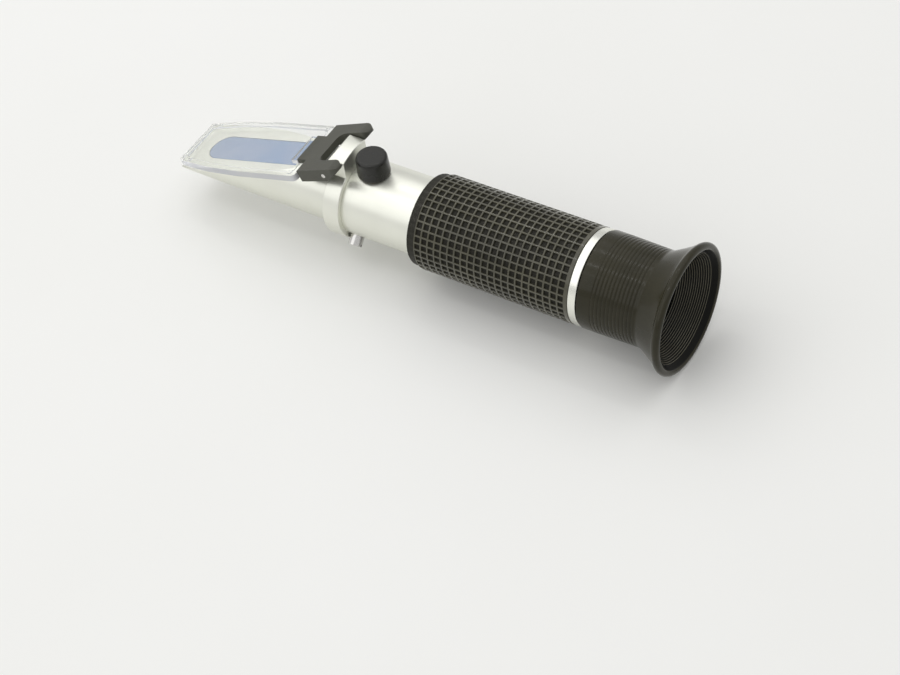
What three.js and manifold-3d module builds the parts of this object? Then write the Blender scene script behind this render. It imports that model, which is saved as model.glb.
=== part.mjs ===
// A handheld brix refractometer with automatic temperature compensation.
// Millimetres, +X along the optical axis from the prism's tip to the eyecup, +Z up.
// While it is built, x is zero where the rubber grip starts and z is zero on the optical axis.
import * as THREE from "three";
import { mergeVertices } from "three/addons/utils/BufferGeometryUtils.js";
import Module from "manifold-3d";

const wasm = await Module();
wasm.setup();

// Fineness of the round shapes, in steps round a turn.
const outerSteps = 48;
const innerSteps = 36;
const smallSteps = 20;
const arcSteps = 6;

// Clearances shared by all pieces.
const fitClearance = 0.1;
const runningClearance = 0.3;
const overrun = 2;
const mergeTolerance = 1e-4;

// Main tube: one aluminium barrel from the prism housing to the eyepiece.
const tubeRadius = 10.9;
const tubeBore = 9.3;
const neckLength = 22.5;
const spigotLength = 4.4;
const sealThickness = 0.8;
const spigotRadius = 10.4;
const tubeTail = 10.9;
const tubeEdge = 0.3;

// Rubber grip and the bright ring behind it.
const gripLength = 49.3;
const gripRadius = 13.5;
const gripBorder = 2.6;
const gripBorderDrop = 0.15;
const gripEdge = 0.3;
// Its waffle: pits between crossing ribs. The floor's share is of the way from a corner to the middle.
const gripCellsRound = 32;
const gripCellLength = 2.75;
const gripPitDepth = 0.6;
const gripFloorShare = 0.6;
const trimWidth = 2.3;
const trimRadius = 13.35;
const trimEdge = 0.2;

// Prism housing: the collar, the hinge block on it and the wedge shaped head.
const collarLength = 5.2;
const collarRadius = 12.3;
const collarEdge = 0.3;
const headLength = 52.8;
const headRadius = 9.8;
const slopeDegrees = 17;
const headBore = 6.5;
const blockRadius = 17;
const blockHalfWidth = 5.45;
const blockWall = 0.95;
const blockBevel = 1.1;

// Hinge: the steel pin, and the black bracket that holds the daylight plate.
const pinAhead = 3.85;
const pinHeight = 14.35;
const pinRadius = 0.7;
const openingDegrees = 80;
const reliefStepDegrees = 5;
const armWidth = 4.2;
const armFront = 9.4;
const armNose = 0.35;
const armRear = 5.2;
const armTopFront = 1;
const armTopRear = 2.6;
const armUnderside = 2.6;
const armHeelUnderside = 1.6;
const armHeel = 0.7;
const armRearRise = 1.7;
const armRearChamfer = 0.5;
const bridgeRear = 4.4;
const bridgeFillet = 2.4;
const bridgeThickness = 1.4;
const tongueFront = 12.7;
const tongueHalfWidth = 5.1;

// Daylight plate: a clear tray that lies on the prism.
const plateFront = 57.2;
const plateRear = 10.5;
const plateHalfWidth = 10.8;
const plateTipHalfWidth = 8;
const plateFloor = 1.4;
const plateRimHeight = 0.5;
const plateRimWidth = 1.7;
const plateRidgeWidth = 2.2;
const plateRidgeHeight = 1.2;
const plateTailRear = 6.2;
const plateTailHalfWidth = 4.8;
const filmGap = 0.3;

// Main prism and the cement under it.
const prismDrop = 2.4;
const prismTip = 53.4;
const prismRear = 15;
const prismHalfWidth = 4.85;
const prismFoot = 6.2;
const cementThickness = 0.3;

// Calibration screw, its bush and its rubber cap, on top of the barrel behind the collar.
const capSetback = 5.6;
const capRadius = 4.6;
const capTopRadius = 4.35;
const capTop = 17;
const capRoof = 1.4;
const capEdge = 0.8;
const capWall = 1.2;
const bushTop = 14.2;
const bushFlange = 1.1;
const bushShankRadius = 2.6;
const screwRadius = 1.8;
const screwTop = 13.8;
const slotWidth = 0.6;
const slotDepth = 0.9;

// Side screw behind the collar.
const sideScrewSetback = 2.1;
const sideScrewDegrees = 43;
const sideScrewHeadRadius = 1.7;
const sideScrewHeadTop = 14;
const sideScrewShankRadius = 1.2;
const sideScrewSlot = 0.6;
const sideScrewSlotDepth = 0.7;

// Temperature compensator: a bimetal strip that carries the objective lens.
const stripHeight = 6.9;
const stripThickness = 0.6;
const stripWidth = 5;
const cellRadius = 6.6;
const cellLength = 5;
const cellLedge = 0.7;
const lensRadius = 5.4;
const lensThickness = 2.2;
const lensBulge = 0.7;
const stripReach = 25.9;
const clampLength = 5;
const clampWidth = 6;
const clampScrewRadius = 1;
const clampScrewHeadRadius = 1.8;
const clampScrewHeadHeight = 0.9;

// Stray light stop, and the scale disc in its cell.
const stopGap = 10;
const stopThickness = 1.2;
const stopAperture = 5.5;
const reticleGap = 9.4;
const reticleCellLength = 5;
const reticleCellWall = 0.7;
const reticleLedge = 1.1;
const reticleLedgeLength = 1.4;
const reticleThickness = 1.2;

// Eyepiece: the lens carrier that slides in the tube, and its lenses.
const carrierInset = 12.6;
const carrierLength = 16.6;
const carrierWall = 1.1;
const carrierLedge = 1.2;
const carrierLedgeLength = 1.4;
const eyeLensBulge = 0.9;
const fieldLensBulge = 1.6;
const lensRimThickness = 1.2;
const retainerLength = 1.5;
const retainerAperture = 6.2;
const focusTravel = 1.6;

// Focusing ring, its circlip and the guide screw that runs in the tube's slot.
const focusRingStart = 0.3;
const focusRingLength = 15.7;
const focusRingRadius = 12.4;
const focusLip = 1.3;
const focusRelief = 11.8;
const focusFlange = 1.4;
const circlipThickness = 0.8;
const circlipRadius = 11.5;
const circlipSeat = 0.5;
const guideSetback = 8.2;
const guideRadius = 1.2;
const guideTop = 11.4;

// Rubber eyecup: a ribbed sleeve and a flared cup.
const cupSleeveRadius = 13.5;
const cupSleeveTailRadius = 13.25;
const cupWeb = 1;
const cupThroat = 10.4;
const cupSleeveLength = 16.3;
const cupFlareLength = 7;
// The flare's outline: shares of its length and of its rise, from the sleeve to the rim.
const cupFlareShares = [[0.3, 0.16], [0.57, 0.43], [1, 1]];
const cupFlareRadius = 17.3;
const cupLength = 26;
const rimSetback = 1.2;
const rimRadius = 18.05;
const rimShoulder = 0.4;
const rimShoulderRadius = 17.7;
const rimEndRadius = 16.9;
const rimInnerRadius = 16.3;

// Places along the axis that follow from the sizes above.
const collarRear = -neckLength;
const collarFront = collarRear - collarLength;
const headTip = collarFront - headLength;
const pinX = collarRear - pinAhead;
const capX = collarRear + capSetback;
const trimX = gripLength;
const focusX = trimX + trimWidth + focusRingStart;
const tubeEnd = trimX + trimWidth + tubeTail;
const pivotX = capX + stripReach;
const stripRear = pivotX + clampLength;
const stopX = stripRear + stopGap;
const carrierX = tubeEnd - carrierInset;
const reticleCellX = carrierX - reticleGap;
const guideX = carrierX + guideSetback;
const focusEnd = focusX + focusRingLength;
const rimEnd = focusX + cupLength;
const rimX = rimEnd - rimSetback;
const carrierRadius = tubeBore - runningClearance;
const carrierBore = carrierRadius - carrierWall;
const carrierEnd = carrierX + carrierLength;
const slope = THREE.MathUtils.degToRad(slopeDegrees);
const quarterTurn = Math.PI / 2;

// ---- Making solids ----

// A closed geometry as a solid that can be cut and joined.
function solid(geometry) {
  const bare = geometry.index ? geometry.toNonIndexed() : geometry.clone();
  bare.deleteAttribute("normal");
  bare.deleteAttribute("uv");
  const merged = mergeVertices(bare, mergeTolerance);
  return new wasm.Manifold(
    new wasm.Mesh({
      numProp: 3,
      vertProperties: merged.attributes.position.array,
      triVerts: new Uint32Array(merged.index.array),
    }),
  );
}

// A solid back as a geometry with flat faces.
function geometryOf(shape) {
  const mesh = shape.getMesh();
  const indexed = new THREE.BufferGeometry();
  indexed.setAttribute("position", new THREE.BufferAttribute(mesh.vertProperties, mesh.numProp));
  indexed.setIndex(new THREE.BufferAttribute(mesh.triVerts, 1));
  const flat = indexed.toNonIndexed();
  flat.computeVertexNormals();
  return flat;
}

// A shape turned about the optical axis from points [x, radius], a flat facet lying lowest.
function turned(points, steps = outerSteps) {
  const profile = points.map(([x, radius]) => new THREE.Vector2(radius, x));
  const geometry = new THREE.LatheGeometry(profile, steps, Math.PI / steps);
  return geometry.rotateZ(-quarterTurn);
}

// A ring or tube along the optical axis.
function tube(start, end, bore, radius, steps = outerSteps) {
  return turned([[start, bore], [start, radius], [end, radius], [end, bore], [start, bore]], steps);
}

// A solid rod along the optical axis.
function rod(start, end, radius, steps = outerSteps) {
  return turned([[start, 0], [start, radius], [end, radius], [end, 0]], steps);
}

// A shape turned about an upright axis at x, from points [z, radius].
function upright(x, points, steps = smallSteps) {
  return turned(points, steps).rotateY(-quarterTurn).translate(x, 0, 0);
}

// An upright plug at x, from the optical axis up to a height.
function plug(x, radius, top, steps = smallSteps) {
  return upright(x, [[0, 0], [0, radius], [top, radius], [top, 0]], steps);
}

// A box between two corners.
function box(low, high) {
  const size = high.map((value, axis) => value - low[axis]);
  const geometry = new THREE.BoxGeometry(...size);
  return geometry.translate(...low.map((value, axis) => value + size[axis] / 2));
}

// An outline in the XZ plane, given as [x, z], thickened across Y between two places.
function sideways(outline, left, right) {
  const shape = new THREE.Shape(outline.map(([x, z]) => new THREE.Vector2(x, z)));
  const geometry = new THREE.ExtrudeGeometry(shape, { depth: right - left, bevelEnabled: false });
  return geometry.rotateX(quarterTurn).translate(0, right, 0);
}

// An outline in the XY plane, given as [x, y], thickened upwards between two heights.
function upwards(outline, bottom, top) {
  const shape = new THREE.Shape(outline.map(([x, y]) => new THREE.Vector2(x, y)));
  const geometry = new THREE.ExtrudeGeometry(shape, { depth: top - bottom, bevelEnabled: false });
  return geometry.translate(0, 0, bottom);
}

// A lens along the axis: a rim with one or two bulging faces.
function lens(start, thickness, radius, frontBulge, rearBulge) {
  const points = [];
  for (let step = 0; step <= arcSteps; step += 1) {
    const share = step / arcSteps;
    points.push([start - frontBulge * (1 - share * share), radius * share]);
  }
  for (let step = arcSteps; step >= 0; step -= 1) {
    const share = step / arcSteps;
    points.push([start + thickness + rearBulge * (1 - share * share), radius * share]);
  }
  return turned(points, innerSteps);
}

const instrument = new THREE.Group();
instrument.name = "brix_refractometer";
const hinged = new THREE.Group();
hinged.position.set(pinX, 0, pinHeight);
hinged.rotation.y = -slope;
instrument.add(hinged);

const finishes = {
  satinAluminium: { color: 0xd9dad6, roughness: 0.38, metalness: 0.9 },
  brightSteel: { color: 0xc9cac8, roughness: 0.22, metalness: 1 },
  blackRubber: { color: 0x1c1c1b, roughness: 0.75, metalness: 0 },
  blackPlastic: { color: 0x2b2b2a, roughness: 0.5, metalness: 0 },
  clearAcrylic: { color: 0xe6eef5, roughness: 0.12, metalness: 0 },
  blueGlass: { color: 0x9fb6dc, roughness: 0.1, metalness: 0 },
  clearGlass: { color: 0xdfeef0, roughness: 0.05, metalness: 0 },
  blackAluminium: { color: 0x202021, roughness: 0.6, metalness: 0.6 },
  brass: { color: 0xc2a25a, roughness: 0.35, metalness: 1 },
  cement: { color: 0xe9e4d0, roughness: 0.8, metalness: 0 },
};

// Adds one named piece with its own material.
function add(name, finish, shape, parent = instrument) {
  const geometry = shape instanceof wasm.Manifold ? geometryOf(shape) : shape;
  const mesh = new THREE.Mesh(geometry, new THREE.MeshStandardMaterial(finishes[finish]));
  mesh.name = name;
  parent.add(mesh);
}

// Moves a geometry from the instrument's frame into the hinge's frame, the plate opened by an angle.
function seenFromHinge(geometry, openingAngle) {
  return geometry.translate(-pinX, 0, -pinHeight).rotateY(slope - openingAngle);
}

// ---- Prism housing ----

// Everything above the prism's plane, as a block in the instrument's frame.
const planeReach = headLength + collarLength;
const abovePlane = box([-planeReach, -collarRadius, -prismDrop], [0, collarRadius, planeReach])
  .rotateY(-slope)
  .translate(pinX, 0, pinHeight);

// The block between the bracket's arms: a sector of a larger ring, bevelled at its front.
const blockFront = pinX - pinRadius - blockWall;
const blockOutline = [
  [blockFront, 0],
  [blockFront, pinHeight + blockWall],
  [blockFront + blockBevel, blockRadius],
  [collarRear, blockRadius],
  [collarRear, 0],
];
const hingeBlock = solid(sideways(blockOutline, -blockHalfWidth, blockHalfWidth)).intersect(
  solid(rod(blockFront, collarRear, blockRadius)),
);
const collarShell = solid(
  turned([
    [collarFront, 0],
    [collarFront, collarRadius - collarEdge],
    [collarFront + collarEdge, collarRadius],
    [collarRear - collarEdge, collarRadius],
    [collarRear, collarRadius - collarEdge],
    [collarRear, 0],
  ]),
);
const wedge = solid(rod(headTip, collarFront + overrun, headRadius)).subtract(solid(abovePlane));

// The prism's outline in its plane, round at the tip, grown by a margin.
function prismOutline(margin) {
  const half = prismHalfWidth + margin;
  const centre = -(prismTip - prismHalfWidth);
  const outline = [[-prismRear, -half], [-prismRear, half]];
  for (let step = 0; step <= 2 * arcSteps; step += 1) {
    const angle = quarterTurn + (step / (2 * arcSteps)) * Math.PI;
    outline.push([centre + half * Math.cos(angle), half * Math.sin(angle)]);
  }
  return outline;
}

// The prism's block below its plane, down to a level foot, in the instrument's frame.
const prismFaceX = pinX - prismRear * Math.cos(slope) + prismDrop * Math.sin(slope);
function prismBlock(margin, lift, foot, rear) {
  const tall = upwards(prismOutline(margin), -prismDrop - 2 * headRadius, -prismDrop + lift);
  const placed = solid(tall.rotateY(-slope).translate(pinX, 0, pinHeight));
  const keep = box([headTip, -headRadius, -foot], [rear, headRadius, headRadius]);
  return placed.intersect(solid(keep));
}
const spigotFront = collarRear - spigotLength;
const cementTop = -prismFoot - fitClearance;
const pocketFoot = prismFoot + fitClearance + cementThickness;
const bores = solid(rod(prismFaceX - overrun, collarFront + overrun, headBore, innerSteps)).add(
  solid(rod(spigotFront - sealThickness, collarRear + overrun, spigotRadius + fitClearance)),
);
const pinHole = solid(
  rod(-armWidth - blockHalfWidth, armWidth + blockHalfWidth, pinRadius + fitClearance, smallSteps)
    .rotateZ(quarterTurn)
    .translate(pinX, 0, pinHeight),
);
add(
  "prism_housing",
  "satinAluminium",
  wedge
    .add(collarShell)
    .add(hingeBlock)
    .subtract(bores)
    .subtract(prismBlock(fitClearance, overrun, pocketFoot, prismFaceX + fitClearance))
    .subtract(pinHole),
);
const prismEnd = prismFaceX - fitClearance;
add("main_prism", "blueGlass", prismBlock(0, 0, prismFoot, prismEnd));
add(
  "prism_cement",
  "cement",
  prismBlock(0, 0, pocketFoot, prismEnd).intersect(
    solid(box([headTip, -headRadius, -headRadius], [prismEnd, headRadius, cementTop])),
  ),
);

// ---- Daylight plate, its bracket and the hinge pin, in the hinge's frame ----

const plateBottom = filmGap - prismDrop;
const plateTop = plateBottom + plateFloor;
// Half widths of the plate along its length: shares of its length from the tip, and of its taper.
const plateTaperShares = [[0, 0], [0.02, 0.12], [0.085, 0.3], [0.27, 0.75], [0.52, 1]];
function plateOutline(inset) {
  const length = plateFront - plateRear;
  const edge = plateTaperShares.map(([along, widening]) => [
    -plateFront + inset + along * (length - 2 * inset),
    plateTipHalfWidth + widening * (plateHalfWidth - plateTipHalfWidth) - inset,
  ]);
  edge.push([-plateRear - inset, plateHalfWidth - inset]);
  const mirrored = edge.map(([x, y]) => [x, -y]).reverse();
  return [...mirrored, ...edge];
}
const tail = box(
  [-plateRear - plateRimWidth, -plateTailHalfWidth, plateBottom],
  [-plateTailRear, plateTailHalfWidth, plateTop],
);
const ridge = box(
  [-tongueFront - runningClearance - plateRidgeWidth, -tongueHalfWidth, plateTop - plateFloor / 2],
  [-tongueFront - runningClearance, tongueHalfWidth, plateTop + plateRidgeHeight],
);
add(
  "daylight_plate",
  "clearAcrylic",
  solid(upwards(plateOutline(0), plateBottom, plateTop + plateRimHeight))
    .subtract(solid(upwards(plateOutline(plateRimWidth), plateTop, plateTop + overrun)))
    .subtract(
      solid(
        box(
          [-tongueFront - runningClearance, -tongueHalfWidth - runningClearance, plateTop],
          [0, tongueHalfWidth + runningClearance, plateTop + overrun],
        ),
      ),
    )
    .add(solid(tail))
    .add(solid(ridge)),
  hinged,
);

const armInner = blockHalfWidth + runningClearance;
const armOuter = armInner + armWidth;
const armOutline = [
  [-armFront, armTopFront],
  [-armFront + armNose, -armUnderside],
  [armHeel, -armHeelUnderside],
  [armRear - armRearChamfer, armRearRise],
  [armRear, armTopRear - armRearChamfer],
  [armRear - armRearChamfer, armTopRear],
  [armHeel + armWidth / 2, armTopRear],
];
// The bracket's outline from above: a U with round ends and filleted inner corners, and a tongue.
const armEnd = armRear - armWidth / 2;
const bracketOutline = [
  [-tongueFront, 0],
  [-tongueFront, tongueHalfWidth],
  [-armFront, tongueHalfWidth],
  [-armFront, armOuter],
];
for (let step = 0; step <= 2 * arcSteps; step += 1) {
  const angle = quarterTurn - (step / (2 * arcSteps)) * Math.PI;
  bracketOutline.push([
    armEnd + (armWidth / 2) * Math.cos(angle),
    armInner + (armWidth / 2) * (1 + Math.sin(angle)),
  ]);
}
for (let step = 0; step <= arcSteps; step += 1) {
  const angle = quarterTurn + (step / arcSteps) * quarterTurn;
  bracketOutline.push([
    bridgeFillet - bridgeRear + bridgeFillet * Math.cos(angle),
    armInner - bridgeFillet + bridgeFillet * Math.sin(angle),
  ]);
}
const mirroredOutline = bracketOutline.slice(1).map(([x, y]) => [x, -y]).reverse();
const bracketPlan = solid(upwards([...bracketOutline, ...mirroredOutline], -pinHeight, pinHeight));
const bridgeUnder = armTopFront - bridgeThickness;
const belowBridge = box([-tongueFront, -armInner, -pinHeight], [armRear, armInner, bridgeUnder]);
const tongue = box(
  [-tongueFront, -tongueHalfWidth, bridgeUnder],
  [-bridgeRear, tongueHalfWidth, armTopFront],
);
let bracket = solid(sideways(armOutline, -armOuter, armOuter))
  .subtract(solid(belowBridge))
  .add(solid(tongue))
  .intersect(bracketPlan);
for (let angle = 0; angle <= openingDegrees; angle += reliefStepDegrees) {
  const opening = THREE.MathUtils.degToRad(angle);
  const collarRoom = tube(
    collarFront - runningClearance,
    collarRear + runningClearance,
    headBore,
    collarRadius + runningClearance,
  );
  const headRoom = tube(headTip, collarFront, headBore, headRadius + runningClearance);
  bracket = bracket
    .subtract(solid(seenFromHinge(collarRoom, opening)))
    .subtract(solid(seenFromHinge(headRoom, opening)));
}
const bracketPinHole = rod(-armOuter - overrun, armOuter + overrun, pinRadius + fitClearance, smallSteps);
add("plate_bracket", "blackPlastic", bracket.subtract(solid(bracketPinHole.rotateZ(quarterTurn))), hinged);
const pin = rod(-armOuter, armOuter, pinRadius, smallSteps).rotateZ(quarterTurn);
add("hinge_pin", "brightSteel", pin, hinged);

// ---- Main tube ----

let mainTube = solid(
  turned([
    [spigotFront, tubeBore],
    [spigotFront, spigotRadius],
    [collarRear, spigotRadius],
    [collarRear, tubeRadius],
    [tubeEnd - tubeEdge, tubeRadius],
    [tubeEnd, tubeRadius - tubeEdge],
    [tubeEnd, tubeBore],
    [spigotFront, tubeBore],
  ]),
);
const circlipX = focusX + focusLip + runningClearance;
const circlipGroove = tube(
  circlipX - fitClearance,
  circlipX + circlipThickness + fitClearance,
  tubeRadius - circlipSeat,
  tubeRadius + overrun,
);
const guideSlotReach = focusTravel + guideRadius + runningClearance;
const guideSlotHalf = guideRadius + runningClearance;
const guideSlot = box(
  [guideX - guideSlotReach, -guideSlotHalf, -tubeRadius - overrun],
  [guideX + guideSlotReach, guideSlotHalf, 0],
);
const bushHole = plug(capX, bushShankRadius + fitClearance, capTop);
const clampX = pivotX + clampLength / 2;
const clampHole = upright(clampX, [
  [0, 0],
  [0, clampScrewRadius + fitClearance],
  [tubeRadius - clampScrewHeadHeight - fitClearance, clampScrewRadius + fitClearance],
  [tubeRadius - clampScrewHeadHeight - fitClearance, clampScrewHeadRadius + fitClearance],
  [tubeRadius + overrun, clampScrewHeadRadius + fitClearance],
  [tubeRadius + overrun, 0],
]);

// A turned shape set radially on the lower near side of the tube, where the side screw sits.
const sideScrewX = collarRear + sideScrewSetback;
function radial(points) {
  const turn = THREE.MathUtils.degToRad(sideScrewDegrees) + quarterTurn;
  return upright(0, points).rotateX(turn).translate(sideScrewX, 0, 0);
}
const sideScrewBore = sideScrewShankRadius + fitClearance;
const sideScrewHole = radial([
  [0, 0],
  [0, sideScrewBore],
  [sideScrewHeadTop, sideScrewBore],
  [sideScrewHeadTop, 0],
]);
mainTube = mainTube
  .subtract(solid(circlipGroove))
  .subtract(solid(guideSlot))
  .subtract(solid(bushHole))
  .subtract(solid(clampHole))
  .subtract(solid(sideScrewHole));
add("main_tube", "satinAluminium", mainTube);

add("housing_seal", "blackRubber", tube(spigotFront - sealThickness, spigotFront, tubeBore, spigotRadius));

// ---- Grip and trim ring ----

const sleeveBore = tubeRadius + fitClearance;

// A point on the grip, a flat facet lying lowest.
function gripPoint([x, radius], step) {
  const angle = (2 * Math.PI * (step + 1 / 2)) / gripCellsRound;
  return new THREE.Vector3(x, radius * Math.cos(angle), radius * Math.sin(angle));
}

// The four corners of one facet of the grip, between two points of its outline.
function gripFacet(from, to, step) {
  return [gripPoint(from, step), gripPoint(from, step + 1), gripPoint(to, step + 1), gripPoint(to, step)];
}

// A facet as two triangles.
function flatFacet([first, second, third, fourth]) {
  return [first, second, third, first, third, fourth];
}

// A facet sunk into a pit: four sloping walls round a floor.
function sunkFacet(corners) {
  const middle = new THREE.Vector3();
  corners.forEach((corner) => middle.addScaledVector(corner, 1 / corners.length));
  const floor = corners.map((corner) => {
    const lowered = corner.clone().lerp(middle, gripFloorShare);
    const shrink = 1 - gripPitDepth / gripRadius;
    return lowered.set(lowered.x, lowered.y * shrink, lowered.z * shrink);
  });
  const walls = corners.flatMap((corner, index) => {
    const next = (index + 1) % corners.length;
    return flatFacet([corner, corners[next], floor[next], floor[index]]);
  });
  return [...walls, ...flatFacet(floor)];
}

// Facets all round the grip for each step of an outline.
function gripFacets(outline, shapeOf) {
  const triangles = [];
  for (let index = 1; index < outline.length; index += 1) {
    for (let step = 0; step < gripCellsRound; step += 1) {
      triangles.push(...shapeOf(gripFacet(outline[index - 1], outline[index], step)));
    }
  }
  return triangles;
}

const waffleLength = gripLength - gripBorder;
const waffleRows = Math.round(waffleLength / gripCellLength);
const waffleOutline = Array.from({ length: waffleRows + 1 }, (_, row) => [
  gripBorder + (waffleLength * row) / waffleRows,
  gripRadius,
]);
const gripRear = waffleOutline[waffleRows];
const gripSkin = [
  ...gripFacets([
    gripRear,
    [gripLength, sleeveBore],
    [0, sleeveBore],
    [0, gripRadius - gripBorderDrop - gripEdge],
    [gripEdge, gripRadius - gripBorderDrop],
    [gripBorder, gripRadius - gripBorderDrop],
    waffleOutline[0],
  ], flatFacet),
  ...gripFacets(waffleOutline, sunkFacet),
];
const gripGeometry = new THREE.BufferGeometry().setFromPoints(gripSkin);
gripGeometry.computeVertexNormals();
add("rubber_grip", "blackRubber", gripGeometry);
add(
  "trim_ring",
  "satinAluminium",
  turned([
    [trimX, sleeveBore],
    [trimX, trimRadius - trimEdge],
    [trimX + trimEdge, trimRadius],
    [trimX + trimWidth - trimEdge, trimRadius],
    [trimX + trimWidth, trimRadius - trimEdge],
    [trimX + trimWidth, sleeveBore],
    [trimX, sleeveBore],
  ]),
);

// ---- Calibration screw, bush and cap ----

const tubeSkin = rod(collarRear - overrun, 0, tubeRadius + fitClearance);
const bushRadius = capRadius - capWall - fitClearance;
add(
  "calibration_bush",
  "brass",
  solid(
    upright(capX, [
      [tubeBore - bushFlange, screwRadius + fitClearance],
      [tubeBore - bushFlange, bushShankRadius],
      [tubeRadius - bushFlange, bushShankRadius],
      [tubeRadius - bushFlange, bushRadius],
      [bushTop, bushRadius],
      [bushTop, screwRadius + fitClearance],
      [tubeBore - bushFlange, screwRadius + fitClearance],
    ]),
  ).subtract(solid(tubeSkin).subtract(solid(plug(capX, bushShankRadius, capTop)))),
);
const screwTip = stripHeight + stripThickness + runningClearance;
const screwRod = upright(capX, [
  [screwTip, 0],
  [screwTip, screwRadius],
  [screwTop, screwRadius],
  [screwTop, 0],
]);
const screwSlot = box(
  [capX - screwRadius - overrun, -slotWidth / 2, screwTop - slotDepth],
  [capX + screwRadius + overrun, slotWidth / 2, capTop],
);
add("calibration_screw", "brightSteel", solid(screwRod).subtract(solid(screwSlot)));
const capFoot = tubeRadius + runningClearance;
add(
  "calibration_cap",
  "blackRubber",
  upright(
    capX,
    [
      [capFoot, bushRadius + fitClearance],
      [capFoot, capRadius],
      [capTop - capEdge, capTopRadius],
      [capTop, capTopRadius - capEdge],
      [capTop, 0],
      [capTop - capRoof, 0],
      [capTop - capRoof, bushRadius + fitClearance],
      [capFoot, bushRadius + fitClearance],
    ],
    innerSteps,
  ),
);

// ---- Side screw ----

const sideScrewSeat = radial([
  [0, 0],
  [0, sideScrewHeadRadius + overrun],
  [tubeRadius + fitClearance, sideScrewHeadRadius + overrun],
  [tubeRadius + fitClearance, 0],
]);
const sideSlot = box(
  [-sideScrewHeadRadius - overrun, -sideScrewSlot / 2, sideScrewHeadTop - sideScrewSlotDepth],
  [sideScrewHeadRadius + overrun, sideScrewSlot / 2, sideScrewHeadTop + overrun],
)
  .rotateX(THREE.MathUtils.degToRad(sideScrewDegrees) + quarterTurn)
  .translate(sideScrewX, 0, 0);
add(
  "side_screw",
  "brightSteel",
  solid(
    radial([
      [tubeBore, 0],
      [tubeBore, sideScrewShankRadius],
      [tubeBore + overrun, sideScrewShankRadius],
      [tubeBore + overrun, sideScrewHeadRadius],
      [sideScrewHeadTop, sideScrewHeadRadius],
      [sideScrewHeadTop, 0],
    ]),
  )
    .subtract(solid(sideScrewSeat).subtract(solid(sideScrewHole)))
    .subtract(solid(sideSlot)),
);

// ---- Temperature compensator ----

const cellFront = capX - cellLength / 2;
const cellRear = cellFront + cellLength;
const cellSeatRadius = lensRadius + fitClearance;
add(
  "objective_cell",
  "blackAluminium",
  turned(
    [
      [cellFront, cellSeatRadius],
      [cellFront, cellRadius],
      [cellRear, cellRadius],
      [cellRear, lensRadius - cellLedge],
      [cellRear - cellLedge, lensRadius - cellLedge],
      [cellRear - cellLedge, cellSeatRadius],
      [cellFront, cellSeatRadius],
    ],
    innerSteps,
  ),
);
add(
  "objective_lens",
  "clearGlass",
  lens(cellRear - cellLedge - lensThickness, lensThickness, lensRadius, lensBulge, 0),
);
const stripHole = plug(clampX, clampScrewRadius + runningClearance, tubeBore);
const strip = box(
  [cellFront, -stripWidth / 2, stripHeight],
  [stripRear, stripWidth / 2, stripHeight + stripThickness],
);
add("bimetal_strip", "brass", solid(strip).subtract(solid(stripHole)));
const clampUnder = stripHeight + stripThickness + runningClearance;
const boreSkin = rod(pivotX - overrun, stripRear + overrun, tubeBore - fitClearance);
add(
  "strip_clamp",
  "blackAluminium",
  solid(box([pivotX, -clampWidth / 2, clampUnder], [stripRear, clampWidth / 2, tubeBore]))
    .intersect(solid(boreSkin))
    .subtract(solid(plug(clampX, clampScrewRadius + fitClearance, tubeBore))),
);
const clampNut = stripHeight - runningClearance;
add(
  "clamp_screw",
  "brightSteel",
  upright(clampX, [
    [clampNut - clampScrewHeadHeight, 0],
    [clampNut - clampScrewHeadHeight, clampScrewHeadRadius],
    [clampNut, clampScrewHeadRadius],
    [clampNut, clampScrewRadius],
    [tubeRadius - clampScrewHeadHeight, clampScrewRadius],
    [tubeRadius - clampScrewHeadHeight, clampScrewHeadRadius],
    [tubeRadius - fitClearance, clampScrewHeadRadius],
    [tubeRadius - fitClearance, 0],
  ]),
);

// ---- Stop and scale disc ----

const insertRadius = tubeBore - fitClearance;
add("light_stop", "blackAluminium", tube(stopX, stopX + stopThickness, stopAperture, insertRadius));
const reticleSeatRadius = insertRadius - reticleCellWall;
const reticleApertureRadius = reticleSeatRadius - reticleLedge;
add(
  "reticle_cell",
  "blackAluminium",
  turned([
    [reticleCellX, reticleApertureRadius],
    [reticleCellX, insertRadius],
    [reticleCellX + reticleCellLength, insertRadius],
    [reticleCellX + reticleCellLength, reticleSeatRadius],
    [reticleCellX + reticleLedgeLength, reticleSeatRadius],
    [reticleCellX + reticleLedgeLength, reticleApertureRadius],
    [reticleCellX, reticleApertureRadius],
  ]),
);
const reticleX = reticleCellX + reticleLedgeLength;
const reticleRadius = reticleSeatRadius - fitClearance;
add("reticle", "clearGlass", rod(reticleX, reticleX + reticleThickness, reticleRadius));
add(
  "reticle_retainer",
  "brass",
  tube(
    reticleX + reticleThickness,
    reticleCellX + reticleCellLength,
    reticleApertureRadius,
    reticleRadius,
  ),
);

// ---- Eyepiece ----

const carrierShell = solid(
  turned([
    [carrierX, carrierBore - carrierLedge],
    [carrierX, carrierRadius],
    [carrierEnd, carrierRadius],
    [carrierEnd, carrierBore],
    [carrierX + carrierLedgeLength, carrierBore],
    [carrierX + carrierLedgeLength, carrierBore - carrierLedge],
    [carrierX, carrierBore - carrierLedge],
  ]),
);
const guideHole = upright(guideX, [
  [-guideTop, 0],
  [-guideTop, guideRadius + fitClearance],
  [0, guideRadius + fitClearance],
  [0, 0],
]);
add("lens_carrier", "blackAluminium", carrierShell.subtract(solid(guideHole)));
add(
  "guide_screw",
  "brightSteel",
  upright(guideX, [
    [-guideTop, 0],
    [-guideTop, guideRadius],
    [-carrierBore - carrierWall / 2, guideRadius],
    [-carrierBore - carrierWall / 2, 0],
  ]),
);
const opticRadius = carrierBore - fitClearance;
const spacerBore = opticRadius - carrierWall;
const fieldLensX = carrierX + carrierLedgeLength;
const retainerX = carrierEnd - retainerLength;
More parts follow.
